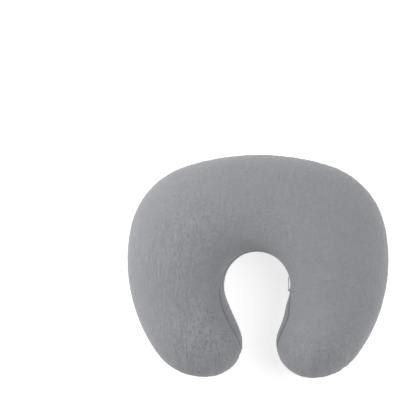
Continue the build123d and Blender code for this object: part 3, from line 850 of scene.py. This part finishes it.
def cover_panel(name, side, seed, material, stands_for):
    """The front or back panel of the cover: from the outer seam to the gusset's seam."""
    station = stations_between(-1, 1, PANEL_STATIONS)
    cut = sections(station)
    inner = cut[2]
    end = seam_length(*cut)
    wanted = even_lengths(0 * end, end, PANEL_ROWS)
    surface, normal, free = stuffed(station, wanted, side, cut)
    place = spread_flat(station, wanted, cut)
    relief = crinkle(place[..., 0], place[..., 1], seed)
    along = station[:, None] * POLE + 0 * wanted
    to_seam = end[:, None] - wanted
    relief += seam_pull(wanted, along, seed + 20) + seam_pull(to_seam, along, seed + 21, GUSSET_GROOVE)
    gape = slit_share(inner, station)
    relief -= SLIT_DEPTH * gape * np.exp(-((to_seam / SLIT_HALF) ** 2))
    relief += RIDGE_HEIGHT * gape * np.exp(-(((to_seam - 2 * RIDGE_HALF) / RIDGE_HALF) ** 2))
    relief *= WALL_CRINKLE + (1 - WALL_CRINKLE) * free
    if side < 0:
        relief = np.minimum(relief, surface[..., 2] - FLOOR_GAP)
    relief *= smoothstep(0, PANEL_EASE, end)[:, None]
    face = surface + normal * relief[..., None]
    mesh = cloth_piece(name, face, normal, FABRIC_THICK, ALLOWANCE, BACK_ROWS, place, relief)
    show(name, mesh, material, stands_for)


ZIP_HALF_SPAN = 104.0
SLOT_EASE = 3.0             # degrees over which the slot for the zip opens


def slot_gap(inner):
    """Half the opening between the gusset's halves: open along the zip, closed beyond it."""
    turn = np.degrees(np.arctan2(inner[:, 1] - HOLLOW_CENTRE[1], inner[:, 0]))
    from_middle = np.abs((turn - 90 + 180) % 360 - 180)
    return SLOT_HALF * (1 - smoothstep(ZIP_HALF_SPAN - SLOT_EASE, ZIP_HALF_SPAN + SLOT_EASE, from_middle))


def gusset_half(name, side, seed, material, stands_for):
    """The upper or lower half of the inner gusset: from a panel's seam to the zip at mid level."""
    station = stations_between(-LENS_TIP, LENS_TIP, GUSSET_STATIONS)
    cut = sections(station)
    lengths, inner = cut[1], cut[2]
    start = seam_length(*cut)
    end = lengths[:, -1] - np.minimum(slot_gap(inner), lengths[:, -1] - start)
    wanted = even_lengths(start, end, GUSSET_ROWS)
    surface, normal, free = stuffed(station, wanted, side, cut)
    run = np.concatenate([[0], np.cumsum(np.hypot(*np.diff(inner, axis=0).T))])
    along = (run - run[-1] / 2)[:, None] + 0 * wanted
    place = np.stack([along, wanted - lengths[:, -1:]], -1)
    relief = crinkle(place[..., 0], place[..., 1], seed)
    relief += seam_pull(wanted - start[:, None], along, seed + 20, GUSSET_GROOVE)
    relief *= WALL_CRINKLE + (1 - WALL_CRINKLE) * free
    relief = np.where(free < 0.5, np.maximum(relief, -WALL_RELIEF), relief)
    relief *= smoothstep(0, GUSSET_EASE, end - start)[:, None]
    face = surface + normal * relief[..., None]
    mesh = cloth_piece(name, face, normal, FABRIC_THICK, FABRIC_THICK, GUSSET_BACK_ROWS, place, relief)
    show(name, mesh, material, stands_for)


# ==== threads, the inner pillow, labels ====
THREAD_R = 0.25 * MM
# Depths below the smooth cloth. Each thread lies behind the groove that its seam pulls.
OUTER_THREAD_DEPTH = 2.6 * MM
GUSSET_THREAD_DEPTH = 3.5 * MM
THREAD_END = 0.995          # station at which the threads along both sides of a lobe meet
CASE_THREAD_END = 0.99
TIP_CLEARANCE = (0.003, 0.01)       # in stations, between the gusset's tip and the threads' ends
THREAD_POINTS = {"lobe": 90, "outer": 900, "gusset": 700, "case": 700}
EDGE_STEP = 1 * MM
STITCH_SINK = 0.3 * MM
STITCH_FLAT = 0.6           # share of a stitch that lies on the cloth
CASE_DEPTH = 4.0 * MM
CASE_THICK = 0.5 * MM
CASE_THREAD_DEPTH = 4.9 * MM
FILL_DEPTH = 5.4 * MM
CASE_STATIONS = 220
CASE_ROWS = 64
CASE_RELIEF = 0.2 * MM
CASE_CELL = (9 * MM, 12 * MM)
FILL_LUMP, FILL_CELL = 0.4 * MM, 7 * MM
CASE_THREAD_R = 0.2 * MM
CLOSING_R = 0.17 * MM


def outer_edge(cut):
    """Length along each section, from its outer end, of the outer seam; the next two give the others."""
    return 0 * cut[1][:, -1]


def inner_edge(cut):
    return cut[1][:, -1]


def gusset_edge(cut):
    return seam_length(*cut)


def seam_line(side, station, edge, depth):
    """Points along one edge of a panel, at a depth behind the cloth."""
    cut = sections(station)
    beside = edge(cut)[:, None] + np.array([[-1.0, 0.0, 1.0]]) * EDGE_STEP
    wanted = np.clip(beside, 0, cut[1][:, -1:])
    surface, normal, _ = stuffed(station, wanted, side, cut)
    return surface[:, 1] - normal[:, 1] * depth


def outer_thread():
    """The stitching where the front and back panels meet: from one tip of the gusset to the other."""
    lobe = np.linspace(LENS_TIP + TIP_CLEARANCE[0], THREAD_END, THREAD_POINTS["lobe"])
    left = seam_line(1, -lobe[::-1], inner_edge, OUTER_THREAD_DEPTH)[::-1]
    whole = np.linspace(-THREAD_END, THREAD_END, THREAD_POINTS["outer"])
    around = seam_line(1, whole, outer_edge, OUTER_THREAD_DEPTH)
    right = seam_line(1, lobe, inner_edge, OUTER_THREAD_DEPTH)[::-1]
    path = np.concatenate([left, around, right])
    path[:, 2] = MID_Z
    return cord_mesh("outer_seam_stitching", path, THREAD_R)


def gusset_thread(name, side):
    end = LENS_TIP - TIP_CLEARANCE[1]
    station = np.linspace(-end, end, THREAD_POINTS["gusset"])
    return cord_mesh(name, seam_line(side, station, gusset_edge, GUSSET_THREAD_DEPTH), THREAD_R)


STITCH_STEP = 3.6 * MM
STITCH_LENGTH = 2.7 * MM
TOPSTITCH_Z = 8 * MM
TOPSTITCH_R = 68.85 * MM


def topstitch_row(name, side):
    """The row of short stitches that holds a zip tape to the gusset, round the hollow."""
    turn_step = degrees(STITCH_STEP / TOPSTITCH_R)
    count = int(2 * ZIP_HALF_SPAN / turn_step)
    half = degrees(STITCH_LENGTH / 2 / TOPSTITCH_R)
    stitches = []
    for number in range(count):
        middle = 90 + (number - (count - 1) / 2) * turn_step
        path = []
        for share, sink in ((-1, STITCH_SINK), (-STITCH_FLAT, 0), (STITCH_FLAT, 0), (1, STITCH_SINK)):
            x, y = polar(HOLLOW_CENTRE, TOPSTITCH_R + sink, middle + share * half)
            path.append((x, y, MID_Z + side * TOPSTITCH_Z))
        stitches.append(cord_mesh("stitch", path, THREAD_R))
    return join_meshes(name, stitches)


def inner_pillow_grid():
    """Stations and lengths that cover the whole pillow, for the case and its filling."""
    station = stations_between(-1, 1, CASE_STATIONS)
    cut = sections(station)
    end = cut[1][:, -1]
    return station, even_lengths(0 * end, end, CASE_ROWS), cut, end


def case_panel(name, side, seed, material, stands_for):
    """One half of the inner pillow's ticking case, lying just behind the cover."""
    station, wanted, cut, end = inner_pillow_grid()
    surface, normal, _ = stuffed(station, wanted, side, cut)
    place = spread_flat(station, wanted, cut)
    relief = CASE_RELIEF * noise(place[..., 0] / CASE_CELL[0], place[..., 1] / CASE_CELL[1], seed)
    relief *= smoothstep(0, PANEL_EASE, end)[:, None]
    face = surface + normal * (relief - CASE_DEPTH)[..., None]
    mesh = cloth_piece(name, face, normal, CASE_THICK, CASE_THICK, CASE_BACK_ROWS, place, relief)
    show(name, mesh, material, stands_for)


def fibre_body(name, seed):
    """The loose polyester stuffing, a lumpy body that fills the case."""
    station, wanted, cut, end = inner_pillow_grid()
    skins = []
    for side in (1, -1):
        surface, normal, _ = stuffed(station, wanted, side, cut)
        lumps = FILL_LUMP * (noise(surface[..., 0] / FILL_CELL, surface[..., 1] / FILL_CELL, seed + side) - 1)
        skins.append(surface + normal * (lumps - FILL_DEPTH)[..., None])
    rings = np.concatenate([skins[0], skins[1][:, 1:-1][:, ::-1]], 1)
    return tube_mesh(name, rings)


def case_thread():
    """The case's own seam, inside the case's edge."""
    station = np.linspace(-CASE_THREAD_END, CASE_THREAD_END, THREAD_POINTS["case"])
    path = seam_line(1, station, outer_edge, CASE_THREAD_DEPTH)
    path[:, 2] = MID_Z
    return cord_mesh("case_seam_stitching", path, CASE_THREAD_R)


CLOSING_STITCHES = 24
CLOSING_SPAN = 0.05         # in stations, to each side of the arch's top
CLOSING_HALF = 2.6 * MM     # half height of each slanted stitch


def closing_stitches():
    """Slanted hand stitches over the gap at the top of the arch where the case was filled."""
    stitches = []
    places = np.linspace(-CLOSING_SPAN, CLOSING_SPAN, CLOSING_STITCHES)
    slant = (places[1] - places[0]) / 2
    run = np.linspace(-1, 1, 5)
    for place in places:
        station = place + slant * run
        path = seam_line(1, station, outer_edge, CASE_DEPTH - CASE_THICK / 2)
        path[:, 2] = MID_Z + CLOSING_HALF * run
        stitches.append(cord_mesh("stitch", path, CLOSING_R))
    return join_meshes("case_closing_stitches", stitches)


LABEL_HALF_WIDTH = 15 * MM
LABEL_START = 1.5 * MM
LABEL_HANG = 38 * MM
LABEL_ROWS = 40
LABEL_THICK = 0.3 * MM
CARE_LABEL_DEPTH = 2.3 * MM
CASE_LABEL_DEPTH = 2.8 * MM
FOLD_THICK = 3.2 * LABEL_THICK      # of a folded label, over both its layers
FOLD_GAP = (1.0 * LABEL_THICK, 1.2 * LABEL_THICK)   # depths of the gap between the layers
FOLD_ROWS = 3               # rows at the fold, past the gap's end
RIPPLE = 0.12 * MM
RIPPLE_LENGTH = 9 * MM
LABEL_STATIONS = (0.30, 0.75)       # the flank lies between these
LABEL_COLUMNS = 30


def facing_quads(first, second):
    """Quads that close the strip between two rows of point numbers."""
    return [(*first[k:k + 2], second[k + 1], second[k]) for k in range(len(second) - 1)]


def label_cap(line, folded):
    """Quads that close one side of a label, whose outline in section is the ring `line`."""
    rows = LABEL_ROWS
    front, back = line[:rows], line[rows:2 * rows][::-1]
    if not folded:
        return facing_quads(front, back)
    inner = rows - FOLD_ROWS
    gap_back, gap_front = line[2 * rows:2 * rows + inner], line[2 * rows + inner:][::-1]
    caps = facing_quads(front, gap_front) + facing_quads(gap_back, back[:inner])
    caps.append((gap_front[-1], front[inner - 1], back[inner - 1], gap_back[-1]))
    return caps + facing_quads(front[inner - 1:], back[inner - 1:])


def hanging_label(name, sign, depth, folded, material, stands_for):
    """A blank satin label that hangs below the flank's seam on one side, between cover and case."""
    station = sign * np.linspace(*LABEL_STATIONS, 400)
    outer = section_ends(station)[0]
    station = np.sort(station[np.abs(outer[:, 1]) < LABEL_HALF_WIDTH])
    station = station[:: max(1, len(station) // LABEL_COLUMNS)]
    wanted = np.linspace(LABEL_START, LABEL_HANG, LABEL_ROWS)[None] + 0 * station[:, None]
    surface, normal, _ = stuffed(station, wanted, -1, sections(station))
    ripple = RIPPLE * np.sin(wanted / RIPPLE_LENGTH * 2 * pi)
    front = surface - normal * (depth + ripple)[..., None]
    around = [front, (front - normal * (FOLD_THICK if folded else LABEL_THICK))[:, ::-1]]
    if folded:
        gap_front, gap_back = [(front - normal * gap)[:, :-FOLD_ROWS] for gap in FOLD_GAP]
        around += [gap_back, gap_front[:, ::-1]]
    rings = np.concatenate(around, 1)
    index = np.arange(rings.shape[0] * rings.shape[1]).reshape(rings.shape[:2])
    faces = strip_faces(index).tolist() + label_cap(index[0].tolist(), folded)
    faces += [cap[::-1] for cap in label_cap(index[-1].tolist(), folded)]
    mesh = build_mesh(name, rings.reshape(-1, 3), faces)
    flat = np.stack([station[:, None] * POLE + 0 * rings[..., 0], rings[..., 2], 0 * rings[..., 0]], -1)
    store(mesh, "fabric", flat.reshape(-1, 3))
    show(name, mesh, material, stands_for)


# ==== materials ====
class Looks:
    """A material and short ways to add and join its nodes."""

    def __init__(self, name, roughness=0.35, sheen=0.0, metallic=0.0):
        self.material = bpy.data.materials.new(name)
        self.material.use_nodes = True
        self.tree = self.material.node_tree
        self.surface = self.tree.nodes["Principled BSDF"]
        starts = {"Roughness": roughness, "Metallic": metallic, "Sheen Weight": sheen, "Sheen Roughness": 0.5}
        for socket, value in starts.items():
            self.surface.inputs[socket].default_value = value

    def plug(self, socket, value):
        if isinstance(value, (int, float, tuple)):
            socket.default_value = value
        else:
            self.tree.links.new(value, socket)

    def math(self, operation, *values, clamp=False):
        node = self.tree.nodes.new("ShaderNodeMath")
        node.operation = operation
        node.use_clamp = clamp
        for socket, value in zip(node.inputs, values):
            self.plug(socket, value)
        return node.outputs[0]

    def times(self, first, second, clamp=False):
        return self.math("MULTIPLY", first, second, clamp=clamp)

    def plus(self, first, second, clamp=False):
        return self.math("ADD", first, second, clamp=clamp)

    def less(self, first, second):
        return self.math("SUBTRACT", first, second)

    def attribute(self, name):
        node = self.tree.nodes.new("ShaderNodeAttribute")
        node.attribute_name = name
        return node

    def place(self):
        node = self.tree.nodes.new("ShaderNodeTexCoord")
        return node.outputs["Object"]

    def split(self, vector):
        node = self.tree.nodes.new("ShaderNodeSeparateXYZ")
        self.plug(node.inputs[0], vector)
        return node.outputs

    def stretch(self, vector, sizes):
        """The vector counted in cells of these sizes."""
        node = self.tree.nodes.new("ShaderNodeVectorMath")
        node.operation = "MULTIPLY"
        self.plug(node.inputs[0], vector)
        node.inputs[1].default_value = tuple(1 / size for size in sizes)
        return node.outputs[0]

    def noise(self, vector, sizes, detail=2.0):
        """Soft noise from 0 to 1, in cells of these sizes or of one size every way."""
        sizes = sizes if isinstance(sizes, tuple) else (sizes, sizes, sizes)
        node = self.tree.nodes.new("ShaderNodeTexNoise")
        self.plug(node.inputs["Vector"], self.stretch(vector, sizes))
        node.inputs["Scale"].default_value = 1.0
        node.inputs["Detail"].default_value = detail
        return node.outputs["Fac"]

    def wave(self, value, pitch):
        """A smooth wave from 0 to 1 that repeats at each pitch."""
        turned = self.times(value, 2 * pi / pitch)
        return self.math("MULTIPLY_ADD", self.math("SINE", turned), 0.5, 0.5)

    def mix(self, share, first, second):
        node = self.tree.nodes.new("ShaderNodeMix")
        node.data_type = "RGBA"
        self.plug(node.inputs[0], share)
        self.plug(node.inputs[6], (*first, 1.0) if isinstance(first, tuple) else first)
        self.plug(node.inputs[7], (*second, 1.0) if isinstance(second, tuple) else second)
        return node.outputs[2]

    def colour(self, value):
        self.plug(self.surface.inputs["Base Color"], value)

    def bump(self, height, depth, strength=1.0):
        node = self.tree.nodes.new("ShaderNodeBump")
        node.inputs["Distance"].default_value = depth
        node.inputs["Strength"].default_value = strength
        self.plug(node.inputs["Height"], height)
        self.plug(self.surface.inputs["Normal"], node.outputs[0])

    def finished(self, share, dark, light, height, depth, strength=1.0):
        """Colours the surface between dark and light, gives it relief, and returns the material."""
        self.colour(self.mix(share, dark, light))
        self.bump(height, depth, strength)
        return self.material


def woven(looks, place, pitch):
    """Height of a plain weave: threads along both directions that pass over and under each other."""
    x, y, _ = looks.split(place)
    along = looks.wave(x, pitch)
    across = looks.wave(y, pitch)
    over = looks.wave(looks.plus(x, y), 2 * pitch)
    return looks.math("MAXIMUM", looks.times(along, over), across)


MUSLIN_PITCH = 0.9 * MM
FINE_RIB = (2.2 * MM, 9 * MM, 1.0)
FINE_CROSS = (10 * MM, 2.4 * MM, 1.0)
FADE_PATCH = (45 * MM, 45 * MM, 1.0)
RELIEF_PAINTED_SHADE, FOLD_PAINTED_SHADE, FADE_TONE, RIB_PAINTED_LIGHT = 0.12, 0.9, 0.2, 0.2    # how far each lightens the cloth: painted light on the relief's ridges and painted shade in its grooves, the same on the fine folds, uneven dye, and painted light where the crinkles are deep
WEAVE_SHADOW = 0.2
MUSLIN_RELIEF = 1.8 * MM


def muslin(name, light, dark):
    """Crinkled double gauze: an open weave with painted shade between its threads, soft folds finer than the
    mesh, painted shade in the grooves of the relief and the folds with painted light on their ridges, painted
    light where the crinkles are deep, and faded, uneven dye.
    """
    looks = Looks(name, roughness=0.92, sheen=0.3)
    place = looks.attribute("fabric").outputs["Vector"]
    relief = looks.attribute("relief").outputs["Fac"]
    ribs_here, crossing_here, _ = looks.split(looks.attribute("strengths").outputs["Vector"])
    ribs = looks.times(looks.less(looks.noise(place, FINE_RIB, 1.0), 0.5), ribs_here)
    cross = looks.times(looks.less(looks.noise(place, FINE_CROSS, 1.0), 0.5), crossing_here)
    folds = looks.plus(ribs, cross)
    fade = looks.times(looks.less(looks.noise(place, FADE_PATCH), 0.5), FADE_TONE)
    # painted light: the cloth is lighter where the crinkles are deep, offsetting the shade in their grooves
    painted_rib_light = looks.times(looks.less(ribs_here, RIB_BASE), RIB_PAINTED_LIGHT)
    # uneven dye plus the painted light of the deep crinkles
    uneven = looks.plus(fade, looks.plus(painted_rib_light, 0.5))
    # painted shade and light: darker in the grooves of the relief and the fine folds, lighter on their ridges
    painted_fold_shade = looks.plus(looks.times(relief, RELIEF_PAINTED_SHADE), looks.times(folds, FOLD_PAINTED_SHADE))
    base = looks.mix(looks.plus(painted_fold_shade, uneven, clamp=True), dark, light)
    weave = woven(looks, place, MUSLIN_PITCH)
    shadow = looks.times(looks.less(1.0, weave), WEAVE_SHADOW)
    height = looks.plus(folds, looks.times(weave, 0.1))
    return looks.finished(shadow, base, dark, height, MUSLIN_RELIEF)


def sewing_thread(name, light, dark):
    """Twisted polyester thread."""
    looks = Looks(name, roughness=0.6, sheen=0.1)
    x, y, z = looks.split(looks.place())
    twist = looks.wave(looks.plus(looks.plus(x, y), z), 0.5 * MM)
    uneven = looks.noise(looks.place(), 3 * MM)
    return looks.finished(looks.times(twist, uneven), dark, light, twist, 0.1 * MM)


def ring_place(looks):
    """Length round the hollow and height, for the parts of the zip that bend round it."""
    x, y, z = looks.split(looks.place())
    turn = looks.math("ARCTAN2", looks.less(y, HOLLOW_CENTRE[1]), x)
    return looks.times(turn, HOLLOW_R), z


def zip_tape(name):
    """Herringbone polyester tape, a little worn on its ridges."""
    looks = Looks(name, roughness=0.75, sheen=0.1)
    along, z = ring_place(looks)
    zigzag = looks.math("PINGPONG", z, 1.4 * MM)
    twill = looks.wave(looks.plus(along, zigzag), 0.7 * MM)
    wear = looks.noise(looks.place(), 6 * MM, 3.0)
    dark, light = (0.16, 0.165, 0.175), (0.34, 0.345, 0.36)
    return looks.finished(looks.times(twill, wear), dark, light, twill, 0.15 * MM)


def zip_nylon(name):
    """Drawn nylon monofilament of the coils: slightly glossy, with fine draw lines."""
    looks = Looks(name)
    lines = looks.wave(ring_place(looks)[1], 0.25 * MM)
    dust = looks.noise(looks.place(), 4 * MM, 3.0)
    looks.plug(looks.surface.inputs["Roughness"], looks.times(dust, 0.75))
    return looks.finished(dust, (0.17, 0.175, 0.185), (0.30, 0.305, 0.315), lines, 0.04 * MM)


def zip_metal(name, light, dark):
    """Die-cast metal: fine grain, softened gloss, and darker rubbed patches."""
    looks = Looks(name, metallic=0.9)
    grain = looks.noise(looks.place(), 0.3 * MM, 4.0)
    rub = looks.noise(looks.place(), 5 * MM, 3.0)
    looks.plug(looks.surface.inputs["Roughness"], looks.math("MULTIPLY_ADD", rub, 0.35, 0.2))
    return looks.finished(rub, dark, light, grain, 0.05 * MM, 0.6)


def zip_enamel(name, light, dark):
    """Grey enamel baked on cast metal: orange-peel surface, with bare metal showing where it rubs."""
    looks = Looks(name, roughness=0.4)
    peel = looks.noise(looks.place(), 0.5 * MM)
    rub = looks.noise(looks.place(), 3 * MM, 4.0)
    bare = looks.times(looks.less(rub, 0.66), 8.0, clamp=True)
    looks.plug(looks.surface.inputs["Metallic"], bare)
    return looks.finished(bare, looks.mix(peel, dark, light), (0.45, 0.45, 0.46), peel, 0.04 * MM, 0.5)


def ticking(name):
    """Plain white cotton ticking, closely woven."""
    looks = Looks(name, roughness=0.9, sheen=0.15)
    place = looks.attribute("fabric").outputs["Vector"]
    weave = woven(looks, place, 0.6 * MM)
    slubs = looks.noise(place, (0.8 * MM, 18 * MM, 1.0))
    dark, light = (0.58, 0.57, 0.54), (0.84, 0.83, 0.80)
    return looks.finished(looks.times(weave, slubs), dark, light, weave, 0.2 * MM)


def satin(name):
    """Blank satin ribbon: long floats one way, with a soft gloss."""
    looks = Looks(name, roughness=0.4, sheen=0.2)
    place = looks.attribute("fabric").outputs["Vector"]
    floats = looks.wave(looks.split(place)[0], 0.25 * MM)
    creases = looks.noise(place, (8 * MM, 3 * MM, 1.0))
    dark, light = (0.74, 0.74, 0.73), (0.88, 0.88, 0.87)
    return looks.finished(creases, dark, light, looks.plus(floats, creases), 0.08 * MM)


def fibre(name):
    """White polyester staple fibre, matted."""
    looks = Looks(name, roughness=0.8, sheen=0.4)
    strands = looks.noise(looks.place(), (0.5 * MM, 4 * MM, 2 * MM), 6.0)
    tufts = looks.noise(looks.place(), 12 * MM, 3.0)
    dark, light = (0.66, 0.66, 0.66), (0.92, 0.92, 0.92)
    return looks.finished(looks.times(strands, tufts), dark, light, strands, 0.6 * MM)


FLOOR_GLOW = 0.66           # a light table: it keeps the floor white beside and under the pillow


def paper_floor(name):
    """A pale studio floor, lit from below, with the faintest grain."""
    looks = Looks(name, roughness=1.0)
    grain = looks.noise(looks.place(), 3 * MM, 4.0)
    looks.plug(looks.surface.inputs["Emission Color"], (1.0, 1.0, 1.0, 1.0))
    looks.plug(looks.surface.inputs["Emission Strength"], FLOOR_GLOW)
    return looks.finished(grain, (0.60, 0.60, 0.60), (0.64, 0.64, 0.64), grain, 0.05 * MM, 0.3)


GREY_LIGHT = (0.342, 0.347, 0.369)
GREY_DARK = (0.200, 0.204, 0.218)
COVER_CLOTH = muslin("cover_muslin", GREY_LIGHT, GREY_DARK)
GUSSET_CLOTH = muslin("gusset_muslin", GREY_LIGHT, GREY_DARK)
GREY_THREAD = sewing_thread("grey_thread", (0.30, 0.305, 0.32), (0.16, 0.165, 0.175))
WHITE_THREAD = sewing_thread("white_thread", (0.80, 0.80, 0.78), (0.55, 0.55, 0.53))
TICKING = ticking("case_ticking")
SATIN = satin("label_satin")
FIBRE = fibre("polyester_fibre")

# ---- the soft pieces, from the cover inwards; the hundreds are the seeds of their noise ----
cover_panel("front_panel_cloth", 1, 100, COVER_CLOTH, "cover_front_panel")
cover_panel("back_panel_cloth", -1, 200, COVER_CLOTH, "cover_back_panel")
gusset_half("gusset_upper_cloth", 1, 300, GUSSET_CLOTH, "inner_gusset_upper")
gusset_half("gusset_lower_cloth", -1, 400, GUSSET_CLOTH, "inner_gusset_lower")
show("outer_seam_stitching", outer_thread(), GREY_THREAD, "outer_seam_thread")
for half, side in (("upper", 1), ("lower", -1)):
    thread = gusset_thread(f"gusset_{half}_stitching", side)
    show(f"gusset_{half}_stitching", thread, GREY_THREAD, f"gusset_seam_thread_{half}")
    row = topstitch_row(f"topstitch_{half}_row", side)
    show(f"topstitch_{half}_row", row, GREY_THREAD, f"zip_topstitch_{half}")
hanging_label("care_label_ribbon", -1, CARE_LABEL_DEPTH, True, SATIN, "cover_care_label")
hanging_label("case_label_ribbon", 1, CASE_LABEL_DEPTH, False, SATIN, "inner_case_label")
case_panel("case_front_ticking", 1, 500, TICKING, "inner_case_front_panel")
case_panel("case_back_ticking", -1, 600, TICKING, "inner_case_back_panel")
show("case_seam_stitching", case_thread(), WHITE_THREAD, "inner_case_seam_thread")
show("case_closing_stitches", closing_stitches(), WHITE_THREAD, "inner_case_closing_stitch")
show("fibre_stuffing", fibre_body("fibre_stuffing", 700), FIBRE, "fibre_fill")

# ---- the zip keeps its CAD shapes ----
TAPE_LOOK = zip_tape("zip_tape_twill")
NYLON_LOOK = zip_nylon("zip_coil_nylon")
ENAMEL_LOOK = zip_enamel("zip_slider_enamel", (0.52, 0.525, 0.54), (0.42, 0.425, 0.44))
STOP_LOOK = zip_metal("zip_stop_metal", (0.52, 0.52, 0.53), (0.30, 0.30, 0.31))
ZIP_LOOKS = {
    TAPE_LOOK: ("zip_tape_upper", "zip_tape_lower"),
    NYLON_LOOK: ("zip_coil_upper", "zip_coil_lower"),
    STOP_LOOK: ("zip_top_stops", "zip_bottom_stop"),
    ENAMEL_LOOK: ("zip_slider_body", "zip_pull_tab"),
}
for look, node_names in ZIP_LOOKS.items():
    for node_name in node_names:
        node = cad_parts[node_name]
        node.data.materials.clear()
        node.data.materials.append(look)


# ==== floor, light and camera ====
WORLD_LIGHT = 0.39          # what the pillow sees; the camera sees plain white
FLOOR_HALF = 2.5
UPWARD = Vector((0, 1, 0))  # the direction that shows upward in the picture
LIGHT_AIM = Vector((0, 0, 80 * MM))
FLOOR_SINK = 0.1 * MM       # keeps the floor clear of the pillow's flat underside


def stage_floor():
    half = FLOOR_HALF
    points = np.array([(-half, -half, 0), (half, -half, 0), (half, half, 0), (-half, half, 0)], float)
    mesh = bpy.data.meshes.new("floor")
    mesh.from_pydata(points.tolist(), [], [(0, 1, 2, 3)])
    floor = add_object("floor", mesh)
    floor.location.z = -FLOOR_SINK
    mesh.materials.append(paper_floor("floor_paper"))


def aimed(location, target, up):
    """A placement at location that looks at target, with up showing upward."""
    back = (location - target).normalized()
    right = up.cross(back).normalized()
    turn = Matrix((right, back.cross(right), back)).transposed()
    return Matrix.Translation(location) @ turn.to_4x4()


def add_light(name, energy, size, location):
    lamp = bpy.data.lights.new(name, "AREA")
    lamp.shape = "DISK"
    lamp.size = size
    lamp.energy = energy
    holder = add_object(name, lamp)
    holder.matrix_world = aimed(Vector(location), LIGHT_AIM, UPWARD)


def studio_world():
    """Even white light all round; the camera itself sees plain white."""
    world = bpy.data.worlds.new("studio")
    world.use_nodes = True
    tree = world.node_tree
    background = tree.nodes["Background"]
    background.inputs["Color"].default_value = (1.0, 1.0, 1.0, 1.0)
    rays = tree.nodes.new("ShaderNodeLightPath")
    strength = tree.nodes.new("ShaderNodeMix")
    strength.inputs[2].default_value = WORLD_LIGHT
    strength.inputs[3].default_value = 1.0
    tree.links.new(rays.outputs["Is Camera Ray"], strength.inputs[0])
    tree.links.new(strength.outputs[0], background.inputs["Strength"])
    return world


CAMERA_TURN = 6.5           # degrees the photograph looks from the right of straight above
CAMERA_DISTANCE = 3.2
CAMERA_AIM = (-98.6 * MM, 116 * MM)
PICTURE_WIDTH = 0.832       # metres across the picture at the pillow

stage_floor()
# Name, watts, width in metres, and place of each soft light.
for soft_light in (
    ("key", 19.5, 1.2, (-1.5, 0.75, 1.25)),
    ("rim", 11.5, 1.2, (-1.7, 0.2, 0.5)),
    ("fill", 19.0, 1.4, (1.2, 0.1, 1.6)),
):
    add_light(*soft_light)
scene = bpy.context.scene
scene.world = studio_world()
scene.view_settings.view_transform = "Standard"

camera_data = bpy.data.cameras.new("camera")
camera_data.sensor_width = 36.0
camera_data.lens = 36.0 * CAMERA_DISTANCE / PICTURE_WIDTH
camera_data.clip_start = 0.1
camera_data.clip_end = 20.0
camera = add_object("camera", camera_data)
lean = radians(CAMERA_TURN)
target = Vector((*CAMERA_AIM, MID_Z))
position = Vector((CAMERA_DISTANCE * sin(lean), 0.0, MID_Z + CAMERA_DISTANCE * cos(lean)))
camera.matrix_world = aimed(position, target, UPWARD)
scene.camera = camera
